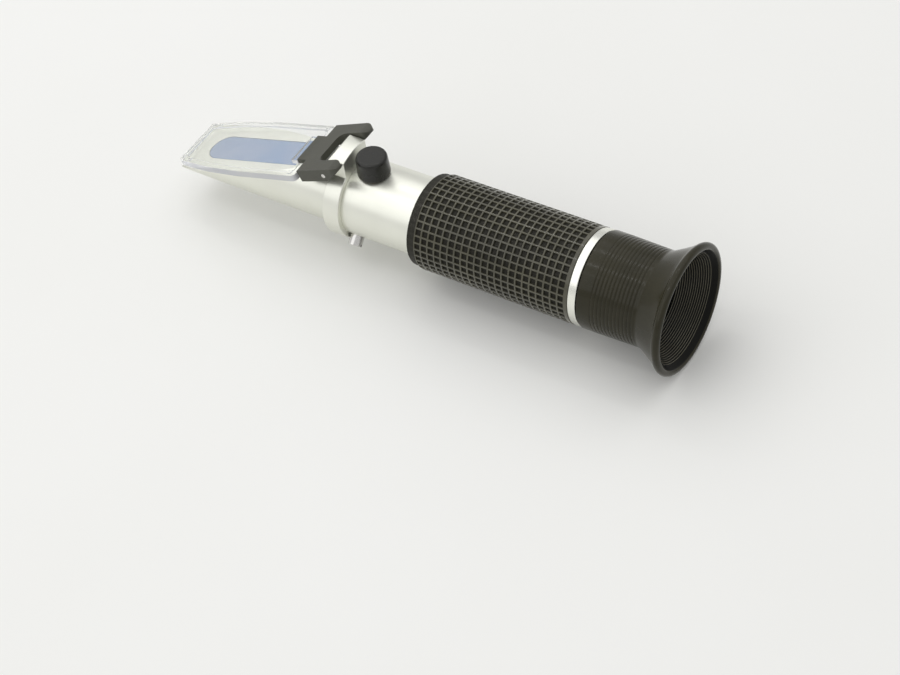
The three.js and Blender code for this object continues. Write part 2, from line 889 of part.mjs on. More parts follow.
const eyeLensX = retainerX - lensRimThickness;

// How far a bulging face still stands out where the spacer's bore meets it, with a gap.
function spacerGap(bulge) {
  const share = spacerBore / opticRadius;
  return bulge * (1 - share * share) + fitClearance;
}
add("field_lens", "clearGlass", lens(fieldLensX, lensRimThickness, opticRadius, 0, fieldLensBulge));
add(
  "lens_spacer",
  "blackAluminium",
  tube(
    fieldLensX + lensRimThickness + spacerGap(fieldLensBulge),
    eyeLensX - spacerGap(eyeLensBulge),
    spacerBore,
    opticRadius,
  ),
);
add("eye_lens", "clearGlass", lens(eyeLensX, lensRimThickness, opticRadius, eyeLensBulge, 0));
add("eye_lens_retainer", "blackAluminium", tube(retainerX, carrierEnd, retainerAperture, opticRadius));

// ---- Focusing ring and circlip ----

const circlipBore = tubeRadius - circlipSeat + fitClearance;
add("focus_circlip", "brightSteel", tube(circlipX, circlipX + circlipThickness, circlipBore, circlipRadius));
add(
  "focus_ring",
  "blackPlastic",
  turned([
    [focusX, tubeRadius + runningClearance],
    [focusX, focusRingRadius],
    [focusEnd, focusRingRadius],
    [focusEnd, carrierRadius + runningClearance],
    [focusEnd - focusFlange, carrierRadius + runningClearance],
    [focusEnd - focusFlange, focusRelief],
    [focusX + focusLip, focusRelief],
    [focusX + focusLip, tubeRadius + runningClearance],
    [focusX, tubeRadius + runningClearance],
  ]),
);

// ---- Eyecup ----

const cupBore = focusRingRadius + fitClearance;
const webEnd = focusEnd + cupWeb;
const flareX = focusX + cupSleeveLength;
const flare = cupFlareShares.map(([along, rise]) => [
  flareX + along * cupFlareLength,
  cupSleeveTailRadius + rise * (cupFlareRadius - cupSleeveTailRadius),
]);
add(
  "eyecup",
  "blackRubber",
  turned([
    [focusX, cupBore],
    [focusX, cupSleeveRadius],
    [flareX, cupSleeveTailRadius],
    ...flare,
    [rimX, rimRadius],
    [rimEnd - rimShoulder, rimShoulderRadius],
    [rimEnd, rimEndRadius],
    [rimEnd, rimInnerRadius],
    [webEnd, cupThroat],
    [focusEnd, cupThroat],
    [focusEnd, cupBore],
    [focusX, cupBore],
  ]),
);

// The part's frame: centred over its length, standing on the eyecup's lowest facet.
const plateTip = pinX - plateFront * Math.cos(slope) - (plateTop + plateRimHeight) * Math.sin(slope);
const rimFacetDrop = rimRadius * Math.cos(Math.PI / outerSteps);
instrument.position.set(-(plateTip + rimEnd) / 2, 0, rimFacetDrop);

export default instrument;
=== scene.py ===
"""A handheld brix refractometer: its shown pieces, finishes, light and camera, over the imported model."""

import math

import bpy
from mathutils import Matrix, Vector


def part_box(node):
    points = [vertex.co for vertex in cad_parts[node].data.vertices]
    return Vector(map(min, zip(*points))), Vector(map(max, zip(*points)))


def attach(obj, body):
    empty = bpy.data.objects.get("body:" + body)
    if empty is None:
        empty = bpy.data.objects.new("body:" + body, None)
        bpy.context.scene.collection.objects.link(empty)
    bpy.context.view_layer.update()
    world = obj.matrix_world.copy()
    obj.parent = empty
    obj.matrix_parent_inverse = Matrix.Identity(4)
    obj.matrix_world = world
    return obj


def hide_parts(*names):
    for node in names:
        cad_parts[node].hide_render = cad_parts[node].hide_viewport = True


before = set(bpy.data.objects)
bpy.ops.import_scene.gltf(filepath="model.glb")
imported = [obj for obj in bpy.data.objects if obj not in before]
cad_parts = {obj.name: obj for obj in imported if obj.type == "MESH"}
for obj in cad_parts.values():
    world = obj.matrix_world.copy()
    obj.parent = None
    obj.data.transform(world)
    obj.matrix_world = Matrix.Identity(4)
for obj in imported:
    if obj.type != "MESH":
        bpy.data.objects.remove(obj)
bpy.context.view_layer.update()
bpy.ops.object.select_all(action="DESELECT")

# ---- Places: millimetres from the grip's front edge and from the optical axis ----

MM = 0.001
# Points that lie closer than this, in metres, are one point.
SEAM = 2e-6
grip_low, grip_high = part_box("rubber_grip")
GRIP_FRONT = grip_low.x
AXIS_HEIGHT = (grip_low.z + grip_high.z) / 2
ALONG = Vector((1, 0, 0))
ACROSS = Vector((0, 1, 0))
UP = Vector((0, 0, 1))

SLOPE = math.radians(17)
pin_low, pin_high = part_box("hinge_pin")
PIN = (pin_low + pin_high) / 2
FORWARD = Vector((-math.cos(SLOPE), 0, -math.sin(SLOPE)))
LIFT = Vector((-math.sin(SLOPE), 0, math.cos(SLOPE)))
ON_PIN = (PIN, FORWARD, ACROSS, LIFT)


def place(x, y=0.0, z=0.0):
    """A point behind the grip's front edge, across, and above the optical axis."""
    return Vector((GRIP_FRONT + x * MM, y * MM, AXIS_HEIGHT + z * MM))


def from_pin(forward, across=0.0, lift=0.0):
    """A point in the daylight plate's own directions, counted from the hinge pin."""
    return PIN + (FORWARD * forward + ACROSS * across + LIFT * lift) * MM


def span(node):
    """A round piece's front, rear and radius, from its packed box."""
    low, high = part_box(node)
    return (low.x - GRIP_FRONT) / MM, (high.x - GRIP_FRONT) / MM, (high.z - low.z) / 2 / MM


def heights(node):
    """An upright piece's place along the axis, its foot, its top and its radius."""
    low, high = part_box(node)
    middle = ((low.x + high.x) / 2 - GRIP_FRONT) / MM
    return middle, (low.z - AXIS_HEIGHT) / MM, (high.z - AXIS_HEIGHT) / MM, (high.x - low.x) / 2 / MM


# ---- Shader node groups ----


def add_node(tree, kind, inputs=None, settings=None):
    """One shader node, with its settings first, then its inputs, either set or linked."""
    made = tree.nodes.new(kind)
    for name, value in (settings or {}).items():
        setattr(made, name, value)
    for name, value in (inputs or {}).items():
        if isinstance(value, bpy.types.NodeSocket):
            tree.links.new(value, made.inputs[name])
        else:
            made.inputs[name].default_value = value
    return made


def calculate(tree, operation, first, second=0.0, third=None, clamp=False):
    """The result of one Math node."""
    inputs = {0: first, 1: second}
    if third is not None:
        inputs[2] = third
    made = add_node(tree, "ShaderNodeMath", inputs, {"operation": operation, "use_clamp": clamp})
    return made.outputs[0]


def remap(tree, value, low, high, to_low=0.0, to_high=1.0):
    """A value carried from one range to another, held at its ends."""
    inputs = {"Value": value, "From Min": low, "From Max": high, "To Min": to_low, "To Max": to_high}
    return add_node(tree, "ShaderNodeMapRange", inputs).outputs["Result"]


def blend_colours(tree, share, first, second):
    """A colour between two, by a mask."""
    inputs = {0: share, 6: first, 7: second}
    return add_node(tree, "ShaderNodeMix", inputs, {"data_type": "RGBA"}).outputs[2]


def noise(tree, vector, scale, detail, distortion=0.0):
    """The value of one noise texture."""
    inputs = {"Vector": vector, "Scale": scale, "Detail": detail, "Distortion": distortion}
    return add_node(tree, "ShaderNodeTexNoise", inputs).outputs[0]


def new_group(name, sockets_in, sockets_out):
    """A shader node group with named inputs and outputs."""
    tree = bpy.data.node_groups.new(name, "ShaderNodeTree")
    for label, kind, value in sockets_in:
        socket = tree.interface.new_socket(label, in_out="INPUT", socket_type=kind)
        if value is not None:
            socket.default_value = value
    for label in sockets_out:
        tree.interface.new_socket(label, in_out="OUTPUT", socket_type="NodeSocketFloat")
    return tree, tree.nodes.new("NodeGroupInput").outputs, tree.nodes.new("NodeGroupOutput").inputs


def grain_group():
    """Fine speckle of a moulded or blasted skin, and the broad patches over it."""
    tree, given, result = new_group(
        "fine_grain",
        [
            ("Vector", "NodeSocketVector", None),
            ("Scale", "NodeSocketFloat", 3000.0),
            ("Patches", "NodeSocketFloat", 90.0),
        ],
        ["Speckle", "Patch"],
    )
    fine = noise(tree, given["Vector"], given["Scale"], 3.0)
    broad = noise(tree, given["Vector"], given["Patches"], 4.0)
    tree.links.new(fine, result["Speckle"])
    tree.links.new(remap(tree, broad, 0.35, 0.68), result["Patch"])
    return tree


def wear_group():
    """Edges rubbed by handling: where the surface turns sharply, broken up by noise."""
    tree, given, result = new_group(
        "edge_wear",
        [
            ("Vector", "NodeSocketVector", None),
            ("Reach", "NodeSocketFloat", 0.0003),
            ("Amount", "NodeSocketFloat", 1.0),
        ],
        ["Mask"],
    )
    softened = add_node(tree, "ShaderNodeBevel", {"Radius": given["Reach"]}, {"samples": 4})
    plain = add_node(tree, "ShaderNodeNewGeometry")
    turn = add_node(
        tree,
        "ShaderNodeVectorMath",
        {0: softened.outputs[0], 1: plain.outputs["Normal"]},
        {"operation": "DOT_PRODUCT"},
    )
    sharp = remap(tree, turn.outputs["Value"], 0.995, 0.9)
    breaks = noise(tree, given["Vector"], 700.0, 5.0)
    broken = calculate(tree, "MULTIPLY", sharp, remap(tree, breaks, 0.38, 0.62))
    tree.links.new(calculate(tree, "MULTIPLY", broken, given["Amount"], clamp=True), result["Mask"])
    return tree


def dust_group():
    """Dust that settles on what faces up."""
    tree, given, result = new_group(
        "settled_dust",
        [("Vector", "NodeSocketVector", None), ("Amount", "NodeSocketFloat", 0.3)],
        ["Mask"],
    )
    surface = add_node(tree, "ShaderNodeNewGeometry").outputs["Normal"]
    facing = add_node(tree, "ShaderNodeSeparateXYZ", {0: surface})
    upward = remap(tree, facing.outputs["Z"], 0.1, 0.95)
    specks = remap(tree, noise(tree, given["Vector"], 2600.0, 2.0), 0.5, 0.72)
    cloud = remap(tree, noise(tree, given["Vector"], 120.0, 3.0), 0.35, 0.7)
    settled = calculate(tree, "MULTIPLY", calculate(tree, "MULTIPLY", specks, cloud), upward)
    tree.links.new(calculate(tree, "MULTIPLY", settled, given["Amount"], clamp=True), result["Mask"])
    return tree


def turning_group():
    """Fine grooves that a lathe leaves round the optical axis."""
    tree, given, result = new_group(
        "turning_marks",
        [("Vector", "NodeSocketVector", None), ("Pitch", "NodeSocketFloat", 4200.0)],
        ["Groove"],
    )
    parts = add_node(tree, "ShaderNodeSeparateXYZ", {0: given["Vector"]})
    along = calculate(tree, "MULTIPLY", parts.outputs["X"], given["Pitch"])
    inputs = {"W": along, "Scale": 1.0, "Detail": 4.0}
    wander = add_node(tree, "ShaderNodeTexNoise", inputs, {"noise_dimensions": "1D"})
    tree.links.new(wander.outputs[0], result["Groove"])
    return tree


def smudge_group():
    """Faint finger marks, for gloss that is not even."""
    tree, given, result = new_group(
        "finger_smudges",
        [("Vector", "NodeSocketVector", None), ("Scale", "NodeSocketFloat", 160.0)],
        ["Mask"],
    )
    warped = noise(tree, given["Vector"], given["Scale"], 2.0, 1.2)
    tree.links.new(remap(tree, warped, 0.45, 0.75), result["Mask"])
    return tree


GRAIN = grain_group()
WEAR = wear_group()
DUST = dust_group()
TURNING = turning_group()
SMUDGES = smudge_group()

# ---- Finishes ----

RUBBED_METAL = [0.93, 0.93, 0.92, 1]
RUBBED_RUBBER = [0.16, 0.155, 0.14, 1]
DUST_COLOUR = [0.42, 0.41, 0.38, 1]
GRIP_DUST = [0.30, 0.28, 0.24, 1]


def new_finish(name, settings):
    """A material with its shader, and the object coordinates that its patterns read."""
    finish = bpy.data.materials.new(name)
    finish.use_nodes = True
    tree = finish.node_tree
    shader = next(n for n in tree.nodes if n.type == "BSDF_PRINCIPLED")
    for label, value in settings.items():
        shader.inputs[label].default_value = value
    return finish, tree, shader, tree.nodes.new("ShaderNodeTexCoord").outputs["Object"]


def use_group(tree, group, inputs):
    """A node group placed in a material with the material's own values."""
    return add_node(tree, "ShaderNodeGroup", inputs, {"node_tree": group}).outputs


def raise_bumps(tree, shader, heights_and_depths):
    """Bump nodes in a chain, one for each height and its depth in metres."""
    normal = None
    for height, depth in heights_and_depths:
        inputs = {"Height": height, "Distance": depth, "Strength": 1.0}
        if normal is not None:
            inputs["Normal"] = normal
        normal = add_node(tree, "ShaderNodeBump", inputs).outputs["Normal"]
    tree.links.new(normal, shader.inputs["Normal"])


def mix_shaders(tree, shader, share, other):
    """Mixes a material's own shader with another one, by a share."""
    mixed = add_node(tree, "ShaderNodeMixShader", {0: share, 1: shader.outputs[0], 2: other.outputs[0]})
    output = next(n for n in tree.nodes if n.type == "OUTPUT_MATERIAL")
    tree.links.new(mixed.outputs[0], output.inputs["Surface"])


def metal_finish(name, bright, dull, rough, polished, speckle_depth, groove_depth, metallic=1.0):
    """Bare metal: turned and blasted, brighter where it is rubbed."""
    finish, tree, shader, where = new_finish(name, {"Metallic": metallic})
    grain = use_group(tree, GRAIN, {"Vector": where, "Scale": 5200.0, "Patches": 70.0})
    wear = use_group(tree, WEAR, {"Vector": where, "Reach": 0.0003, "Amount": 0.8})
    marks = use_group(tree, TURNING, {"Vector": where, "Pitch": 5200.0})
    smudges = use_group(tree, SMUDGES, {"Vector": where, "Scale": 130.0})
    clean = blend_colours(tree, grain["Patch"], bright, dull)
    tree.links.new(blend_colours(tree, wear["Mask"], clean, RUBBED_METAL), shader.inputs["Base Color"])
    base = remap(tree, grain["Speckle"], 0.3, 0.7, rough - 0.04, rough + 0.05)
    handled = calculate(tree, "MULTIPLY_ADD", smudges["Mask"], 0.05, base)
    rubbed = calculate(tree, "MULTIPLY_ADD", wear["Mask"], polished - rough, handled)
    tree.links.new(rubbed, shader.inputs["Roughness"])
    raise_bumps(tree, shader, [(grain["Speckle"], speckle_depth), (marks["Groove"], groove_depth)])
    return finish


def dark_finish(name, fresh, faded, rough, gloss, speckle_depth, dust_amount, specular, worn=0.45):
    """Black rubber or moulded plastic, greyer on its edges and with a little dust."""
    finish, tree, shader, where = new_finish(name, {"Specular IOR Level": specular})
    grain = use_group(tree, GRAIN, {"Vector": where, "Scale": 3600.0, "Patches": 110.0})
    wear = use_group(tree, WEAR, {"Vector": where, "Reach": 0.00025, "Amount": worn})
    dust = use_group(tree, DUST, {"Vector": where, "Amount": dust_amount})
    skin = blend_colours(tree, grain["Patch"], fresh, faded)
    edged = blend_colours(tree, wear["Mask"], skin, RUBBED_RUBBER)
    tree.links.new(blend_colours(tree, dust["Mask"], edged, DUST_COLOUR), shader.inputs["Base Color"])
    base = remap(tree, grain["Patch"], 0.0, 1.0, gloss, rough)
    dulled = calculate(tree, "MULTIPLY_ADD", dust["Mask"], 0.3, base, clamp=True)
    tree.links.new(dulled, shader.inputs["Roughness"])
    raise_bumps(tree, shader, [(grain["Speckle"], speckle_depth)])
    return finish


def waffle_finish(pit_radius, rib_radius):
    """Grip rubber: painted shade darkens its pits to black against browner ribs; the ribs that hands rub
    are smoother.
    """
    settings = {"Specular IOR Level": 0.24, "Coat IOR": 1.38, "Coat Roughness": 0.12}
    finish, tree, shader, where = new_finish("grip_rubber", settings)
    parts = add_node(tree, "ShaderNodeSeparateXYZ", {0: where})
    upward = calculate(tree, "SUBTRACT", parts.outputs["Z"], AXIS_HEIGHT)
    across = calculate(tree, "POWER", parts.outputs["Y"], 2.0)
    squared = calculate(tree, "MULTIPLY_ADD", upward, upward, across)
    height = remap(tree, calculate(tree, "SQRT", squared), pit_radius * MM, rib_radius * MM)
    grain = use_group(tree, GRAIN, {"Vector": where, "Scale": 3600.0, "Patches": 90.0})
    dust = use_group(tree, DUST, {"Vector": where, "Amount": 0.16})
    worn = blend_colours(tree, grain["Patch"], [0.05, 0.047, 0.029, 1], [0.08, 0.075, 0.046, 1])
    # Painted shade: by radius from the axis, the pits are coloured near black and the ribs browner, for
    # the shade that falls into the pits.
    skin = blend_colours(tree, height, [0.014, 0.013, 0.0085, 1], worn)
    tree.links.new(blend_colours(tree, dust["Mask"], skin, GRIP_DUST), shader.inputs["Base Color"])
    tree.links.new(remap(tree, height, 0.0, 1.0, 0.65, 0.3), shader.inputs["Roughness"])
    tree.links.new(height, shader.inputs["Coat Weight"])
    raise_bumps(tree, shader, [(grain["Speckle"], 0.00001)])
    return finish


def clear_finish(name, tint, rough, settings, wave_depth):
    """Clear acrylic or glass, with smudges in its gloss. Lamps and dull faces see straight through it."""
    finish, tree, shader, where = new_finish(name, {"Transmission Weight": 1.0, **settings})
    grain = use_group(tree, GRAIN, {"Vector": where, "Scale": 420.0, "Patches": 60.0})
    smudges = use_group(tree, SMUDGES, {"Vector": where, "Scale": 210.0})
    clear = blend_colours(tree, grain["Patch"], tint, [0.985, 0.985, 0.99, 1])
    tree.links.new(clear, shader.inputs["Base Color"])
    tree.links.new(remap(tree, smudges["Mask"], 0.0, 1.0, rough, rough + 0.05), shader.inputs["Roughness"])
    raise_bumps(tree, shader, [(grain["Speckle"], wave_depth)])
    path = add_node(tree, "ShaderNodeLightPath").outputs
    through = add_node(tree, "ShaderNodeBsdfTransparent", {"Color": [0.97, 0.97, 0.96, 1]})
    lit = calculate(tree, "MAXIMUM", path["Is Shadow Ray"], path["Is Diffuse Ray"])
    mix_shaders(tree, shader, lit, through)
    return finish


def coated_glass_finish():
    """The measuring prism: pale blue through its polished face, deeper towards the hinge."""
    settings = {"Coat Weight": 0.6, "Coat Roughness": 0.03, "IOR": 1.62}
    finish, tree, shader, where = new_finish("blue_prism_glass", settings)
    parts = add_node(tree, "ShaderNodeSeparateXYZ", {0: where})
    low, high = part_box("main_prism")
    depth = remap(tree, parts.outputs["X"], low.x, high.x)
    smudges = use_group(tree, SMUDGES, {"Vector": where, "Scale": 90.0})
    grain = use_group(tree, GRAIN, {"Vector": where, "Scale": 900.0, "Patches": 60.0})
    pale = blend_colours(tree, depth, [0.25, 0.32, 0.45, 1], [0.185, 0.295, 0.50, 1])
    film = calculate(tree, "MULTIPLY", smudges["Mask"], 0.5)
    cloudy = blend_colours(tree, film, pale, [0.33, 0.38, 0.52, 1])
    tree.links.new(cloudy, shader.inputs["Base Color"])
    tree.links.new(remap(tree, grain["Patch"], 0.0, 1.0, 0.12, 0.2), shader.inputs["Roughness"])
    raise_bumps(tree, shader, [(grain["Speckle"], 0.000002)])
    return finish


def cement_finish():
    """Chalky cement in the prism's pocket."""
    finish, tree, shader, where = new_finish("prism_cement_cream", {})
    grain = use_group(tree, GRAIN, {"Vector": where, "Scale": 2200.0, "Patches": 300.0})
    colour = blend_colours(tree, grain["Patch"], [0.74, 0.70, 0.58, 1], [0.62, 0.58, 0.47, 1])
    tree.links.new(colour, shader.inputs["Base Color"])
    tree.links.new(remap(tree, grain["Speckle"], 0.3, 0.7, 0.7, 0.95), shader.inputs["Roughness"])
    raise_bumps(tree, shader, [(grain["Speckle"], 0.00003)])
    return finish


def floor_finish():
    """Pale table top: it keeps the shadow, and fades to plain white far from the object."""
    finish, tree, shader, where = new_finish("pale_table", {"Specular IOR Level": 0.1})
    grain = use_group(tree, GRAIN, {"Vector": where, "Scale": 900.0, "Patches": 6.0})
    colour = blend_colours(tree, grain["Patch"], [0.87, 0.87, 0.845, 1], [0.89, 0.89, 0.87, 1])
    tree.links.new(colour, shader.inputs["Base Color"])
    tree.links.new(remap(tree, grain["Speckle"], 0.3, 0.7, 0.7, 0.85), shader.inputs["Roughness"])
    distance = add_node(tree, "ShaderNodeVectorMath", {0: where}, {"operation": "LENGTH"}).outputs["Value"]
    path = add_node(tree, "ShaderNodeLightPath").outputs
    seen = calculate(tree, "MAXIMUM", path["Is Camera Ray"], path["Is Transmission Ray"])
    seen = calculate(tree, "MAXIMUM", seen, path["Is Glossy Ray"])
    white = add_node(tree, "ShaderNodeEmission", {"Color": [1, 1, 1, 1], "Strength": 1.0})
    share = calculate(tree, "MULTIPLY", remap(tree, distance, 0.28, 0.8), seen)
    mix_shaders(tree, shader, share, white)
    return finish


SATIN = metal_finish(
    "satin_aluminium",
    bright=[0.81, 0.815, 0.74, 1],
    dull=[0.77, 0.775, 0.70, 1],
    rough=0.36,
    polished=0.26,
    speckle_depth=0.000005,
    groove_depth=0.000004,
    metallic=0.9,
)
RING = metal_finish(
    "bright_turned_ring",
    bright=[0.86, 0.86, 0.79, 1],
    dull=[0.82, 0.82, 0.75, 1],
    rough=0.24,
    polished=0.16,
    speckle_depth=0.000003,
    groove_depth=0.000004,
)
STEEL = metal_finish(
    "bright_steel",
    bright=[0.70, 0.69, 0.67, 1],
    dull=[0.60, 0.59, 0.57, 1],
    rough=0.22,
    polished=0.14,
    speckle_depth=0.000003,
    groove_depth=0.000002,
)
BRASS = metal_finish(
    "plain_brass",
    bright=[0.72, 0.53, 0.24, 1],
    dull=[0.62, 0.44, 0.19, 1],
    rough=0.30,
    polished=0.2,
    speckle_depth=0.000004,
    groove_depth=0.000004,
)
DARK_METAL = metal_finish(
    "blackened_aluminium",
    bright=[0.03, 0.03, 0.03, 1],
    dull=[0.045, 0.044, 0.042, 1],
    rough=0.5,
    polished=0.35,
    speckle_depth=0.000006,
    groove_depth=0.000006,
)
SEAL_RUBBER = dark_finish(
    "seal_rubber",
    fresh=[0.012, 0.012, 0.012, 1],
    faded=[0.018, 0.018, 0.018, 1],
    rough=0.6,
    gloss=0.5,
    speckle_depth=0.000008,
    dust_amount=0.0,
    specular=0.25,
)
CUP_RUBBER = dark_finish(
    "eyecup_rubber",
    fresh=[0.023, 0.021, 0.011, 1],
    faded=[0.031, 0.028, 0.015, 1],
    rough=0.2,
    gloss=0.13,
    speckle_depth=0.0000005,
    dust_amount=0.04,
    specular=0.2,
    worn=0.06,
)
# Painted shade: the cone inside the eyecup is coloured near black, for the shade that falls into it.
CUP_INSIDE_SHADE = dark_finish(
    "eyecup_inside_shade",
    fresh=[0.004, 0.004, 0.003, 1],
    faded=[0.006, 0.006, 0.0045, 1],
    rough=0.5,
    gloss=0.4,
    speckle_depth=0.000001,
    dust_amount=0.0,
    specular=0.12,
    worn=0.0,
)
# Painted highlight: the crests of the rings inside the eyecup are coloured paler, for the light they
# catch.
CUP_CREST_HIGHLIGHT = dark_finish(
    "eyecup_crest_highlight",
    fresh=[0.085, 0.078, 0.052, 1],
    faded=[0.12, 0.11, 0.075, 1],
    rough=0.35,
    gloss=0.25,
    speckle_depth=0.000001,
    dust_amount=0.0,
    specular=0.4,
    worn=0.0,
)
CAP_RUBBER = dark_finish(
    "cap_rubber",
    fresh=[0.011, 0.011, 0.009, 1],
    faded=[0.016, 0.016, 0.013, 1],
    rough=0.28,
    gloss=0.2,
    speckle_depth=0.000001,
    dust_amount=0.02,
    specular=0.34,
    worn=0.3,
)
PLASTIC = dark_finish(
    "black_moulding",
    fresh=[0.066, 0.066, 0.053, 1],
    faded=[0.084, 0.084, 0.068, 1],
    rough=0.52,
    gloss=0.42,
    speckle_depth=0.00001,
    dust_amount=0.08,
    specular=0.28,
)
ACRYLIC = clear_finish("clear_acrylic", [0.975, 0.98, 0.975, 1], 0.02, {"IOR": 1.49}, 0.0000015)
EDGE_SETTINGS = {"IOR": 1.49, "Transmission Weight": 0.4}
ACRYLIC_EDGE = clear_finish("moulded_acrylic_edge", [0.88, 0.895, 0.95, 1], 0.12, EDGE_SETTINGS, 0.000004)
GLASS = clear_finish("lens_glass", [0.96, 1.0, 0.99, 1], 0.0, {"IOR": 1.52, "Coat Weight": 0.3}, 0.0000005)
PRISM_GLASS = coated_glass_finish()
CEMENT = cement_finish()
TABLE = floor_finish()

# ---- Modelling ----


def begin(name, first):
    """A new piece of one point, in edit mode with the point selected."""
    bpy.ops.object.select_all(action="DESELECT")
    bpy.ops.mesh.primitive_plane_add(size=MM)
    piece = bpy.context.active_object
    piece.name = name
    bpy.ops.object.mode_set(mode="EDIT")
    bpy.ops.mesh.select_mode(type="VERT")
    bpy.ops.mesh.select_all(action="SELECT")
    bpy.ops.mesh.merge(type="CENTER")
    bpy.ops.transform.translate(value=first)
    return piece


def draw(points):
    """Extrudes the selected point along a line of points."""
    for here, there in zip(points, points[1:]):
        bpy.ops.mesh.extrude_vertices_move(TRANSFORM_OT_translate={"value": there - here})
    bpy.ops.mesh.select_all(action="SELECT")


def close_up():
    """Merges what meets and turns every face outwards, then leaves edit mode."""
    bpy.ops.mesh.select_all(action="SELECT")
    bpy.ops.mesh.remove_doubles(threshold=SEAM)
    bpy.ops.mesh.dissolve_degenerate(threshold=SEAM)
    bpy.ops.mesh.select_all(action="SELECT")
    bpy.ops.mesh.normals_make_consistent(inside=False)
    bpy.ops.object.mode_set(mode="OBJECT")


def eased(corners, ease, count=4):
    """A closed outline with rounded corners. A corner may bring its own ease as a third value."""
    outline = []
    for index, corner in enumerate(corners):
        here = Vector(corner[:2])
        to_last = Vector(corners[index - 1][:2]) - here
        to_next = Vector(corners[(index + 1) % len(corners)][:2]) - here
        size = min(corner[2] if len(corner) == 3 else ease, to_last.length * 0.45, to_next.length * 0.45)
        if size < 0.005 or corner[1] == 0:
            outline.append(here)
            continue
        start = here + to_last.normalized() * size
        end = here + to_next.normalized() * size
        for step in range(count + 1):
            share = step / count
            outline.append(start * (1 - share) ** 2 + here * 2 * share * (1 - share) + end * share**2)
    return outline


def drum(front, rear, radius):
    """The outline of a plain round bar between two places on its axis."""
    return [(front, 0), (front, radius), (rear, radius), (rear, 0)]


def turned(name, outline, steps=96, origin=None, direction=ALONG, side=UP):
    """A piece turned on an axis from an outline of places along it and radii."""
    origin = place(0) if origin is None else origin
    points = [origin + (direction * along + side * radius) * MM for along, radius in outline]
    if outline[0][1] > 0 or outline[-1][1] > 0:
        points.append(points[0])
    piece = begin(name, points[0])
    draw(points)
    bpy.ops.mesh.spin(steps=steps, angle=math.tau, center=origin, axis=direction)
    close_up()
    return piece


def cut_from_sheet(name, outline, low, high, origin, first, second, thick):
    """A flat outline in two directions, extruded in a third between two heights."""
    points = [origin + (first * a + second * b + thick * low) * MM for a, b in outline]
    piece = begin(name, points[0])
    draw(points + points[:1])
    bpy.ops.mesh.remove_doubles(threshold=SEAM)
    bpy.ops.mesh.edge_face_add()
    bpy.ops.mesh.extrude_region_move(TRANSFORM_OT_translate={"value": thick * (high - low) * MM})
    close_up()
    return piece


def block(name, low, high, origin=None, first=ALONG, second=ACROSS, thick=UP):
    """A plain box between two corners, as a tool for cutting or joining."""
    outline = [(low[0], low[1]), (high[0], low[1]), (high[0], high[1]), (low[0], high[1])]
    origin = place(0) if origin is None else origin
    return cut_from_sheet(name, outline, low[2], high[2], origin, first, second, thick)


def choose(piece):
    """Makes one piece the only one selected, and the active one."""
    bpy.ops.object.select_all(action="DESELECT")
    piece.select_set(True)
    bpy.context.view_layer.objects.active = piece


def work(piece, other, operation, merge=True):
    """Cuts a piece with another, or joins the two into one skin. Faces left in one plane may be merged."""
    choose(piece)
    modifier = piece.modifiers.new("worked", "BOOLEAN")
    modifier.operation = operation
    modifier.solver = "EXACT"
    modifier.object = other
    bpy.ops.object.modifier_apply(modifier=modifier.name)
    bpy.data.objects.remove(other)
    bpy.ops.object.mode_set(mode="EDIT")
    bpy.ops.mesh.select_all(action="SELECT")
    bpy.ops.mesh.remove_doubles(threshold=SEAM / 2)
    if merge:
        bpy.ops.mesh.dissolve_limited(angle_limit=math.radians(1))
    bpy.ops.object.mode_set(mode="OBJECT")


def slice_off(piece, point, outward):
    """Cuts a piece along a plane, takes off what lies outward, and closes the cut."""
    choose(piece)
    bpy.ops.object.mode_set(mode="EDIT")
    bpy.ops.mesh.select_all(action="SELECT")
    bpy.ops.mesh.bisect(plane_co=point, plane_no=outward, use_fill=True, clear_outer=True)
    close_up()


def soften(piece, width, segments=3, angle=30):
    """Rounds the edges that turn more than an angle."""
    choose(piece)
    modifier = piece.modifiers.new("softened", "BEVEL")
    modifier.width = width * MM
    modifier.segments = segments
    modifier.limit_method = "ANGLE"
    modifier.angle_limit = math.radians(angle)
    bpy.ops.object.modifier_apply(modifier=modifier.name)


def dress(piece, body, finish, slot, *nodes, angle=35):
    """Shades a piece, gives it its finish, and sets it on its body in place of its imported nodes."""
    choose(piece)
    bpy.ops.object.shade_smooth_by_angle(angle=math.radians(angle))
    modifier = piece.modifiers.new("even_shading", "WEIGHTED_NORMAL")
    modifier.keep_sharp = True
    bpy.ops.object.modifier_apply(modifier=modifier.name)
    piece.data.materials.clear()
    piece.data.materials.append(finish)
    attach(piece, body)
    if nodes:
        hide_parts(*nodes)
    bpy.ops.object.select_all(action="DESELECT")


# ---- Main tube, seal, grip and ring ----

tube_front, tube_rear, _ = span("main_tube")
NECK_FRONT = span("prism_housing")[1]
TUBE_RADIUS = 10.88
TUBE_BORE = 9.3
SPIGOT_RADIUS = 10.38
BUSH_HOLE = 2.7
# The gap between a bore and what it holds.
FIT = 0.12
tube_outline = eased(
    [
        (tube_front, TUBE_BORE),
        (tube_front, SPIGOT_RADIUS),
        (NECK_FRONT, SPIGOT_RADIUS),
        (NECK_FRONT, TUBE_RADIUS),
        (tube_rear, TUBE_RADIUS, 0.3),
        (tube_rear, TUBE_BORE),
    ],
    0.12,
)
main_tube = turned("barrel_tube", tube_outline, 128)
cap_x, cap_foot, cap_top, cap_radius = heights("calibration_cap")
bush_x, bush_foot, bush_top, bush_radius = heights("calibration_bush")
hole = turned("bush_hole", drum(0, cap_top, BUSH_HOLE), 32, place(bush_x), UP, ALONG)
work(main_tube, hole, "DIFFERENCE")
dress(main_tube, "barrel", SATIN, "satin_metal", "main_tube")

GRIP_FRONT_BAND = 2.6
GRIP_CELLS_ROUND = 40
GRIP_CELLS_ALONG = 22
GRIP_PITCH = 2.08
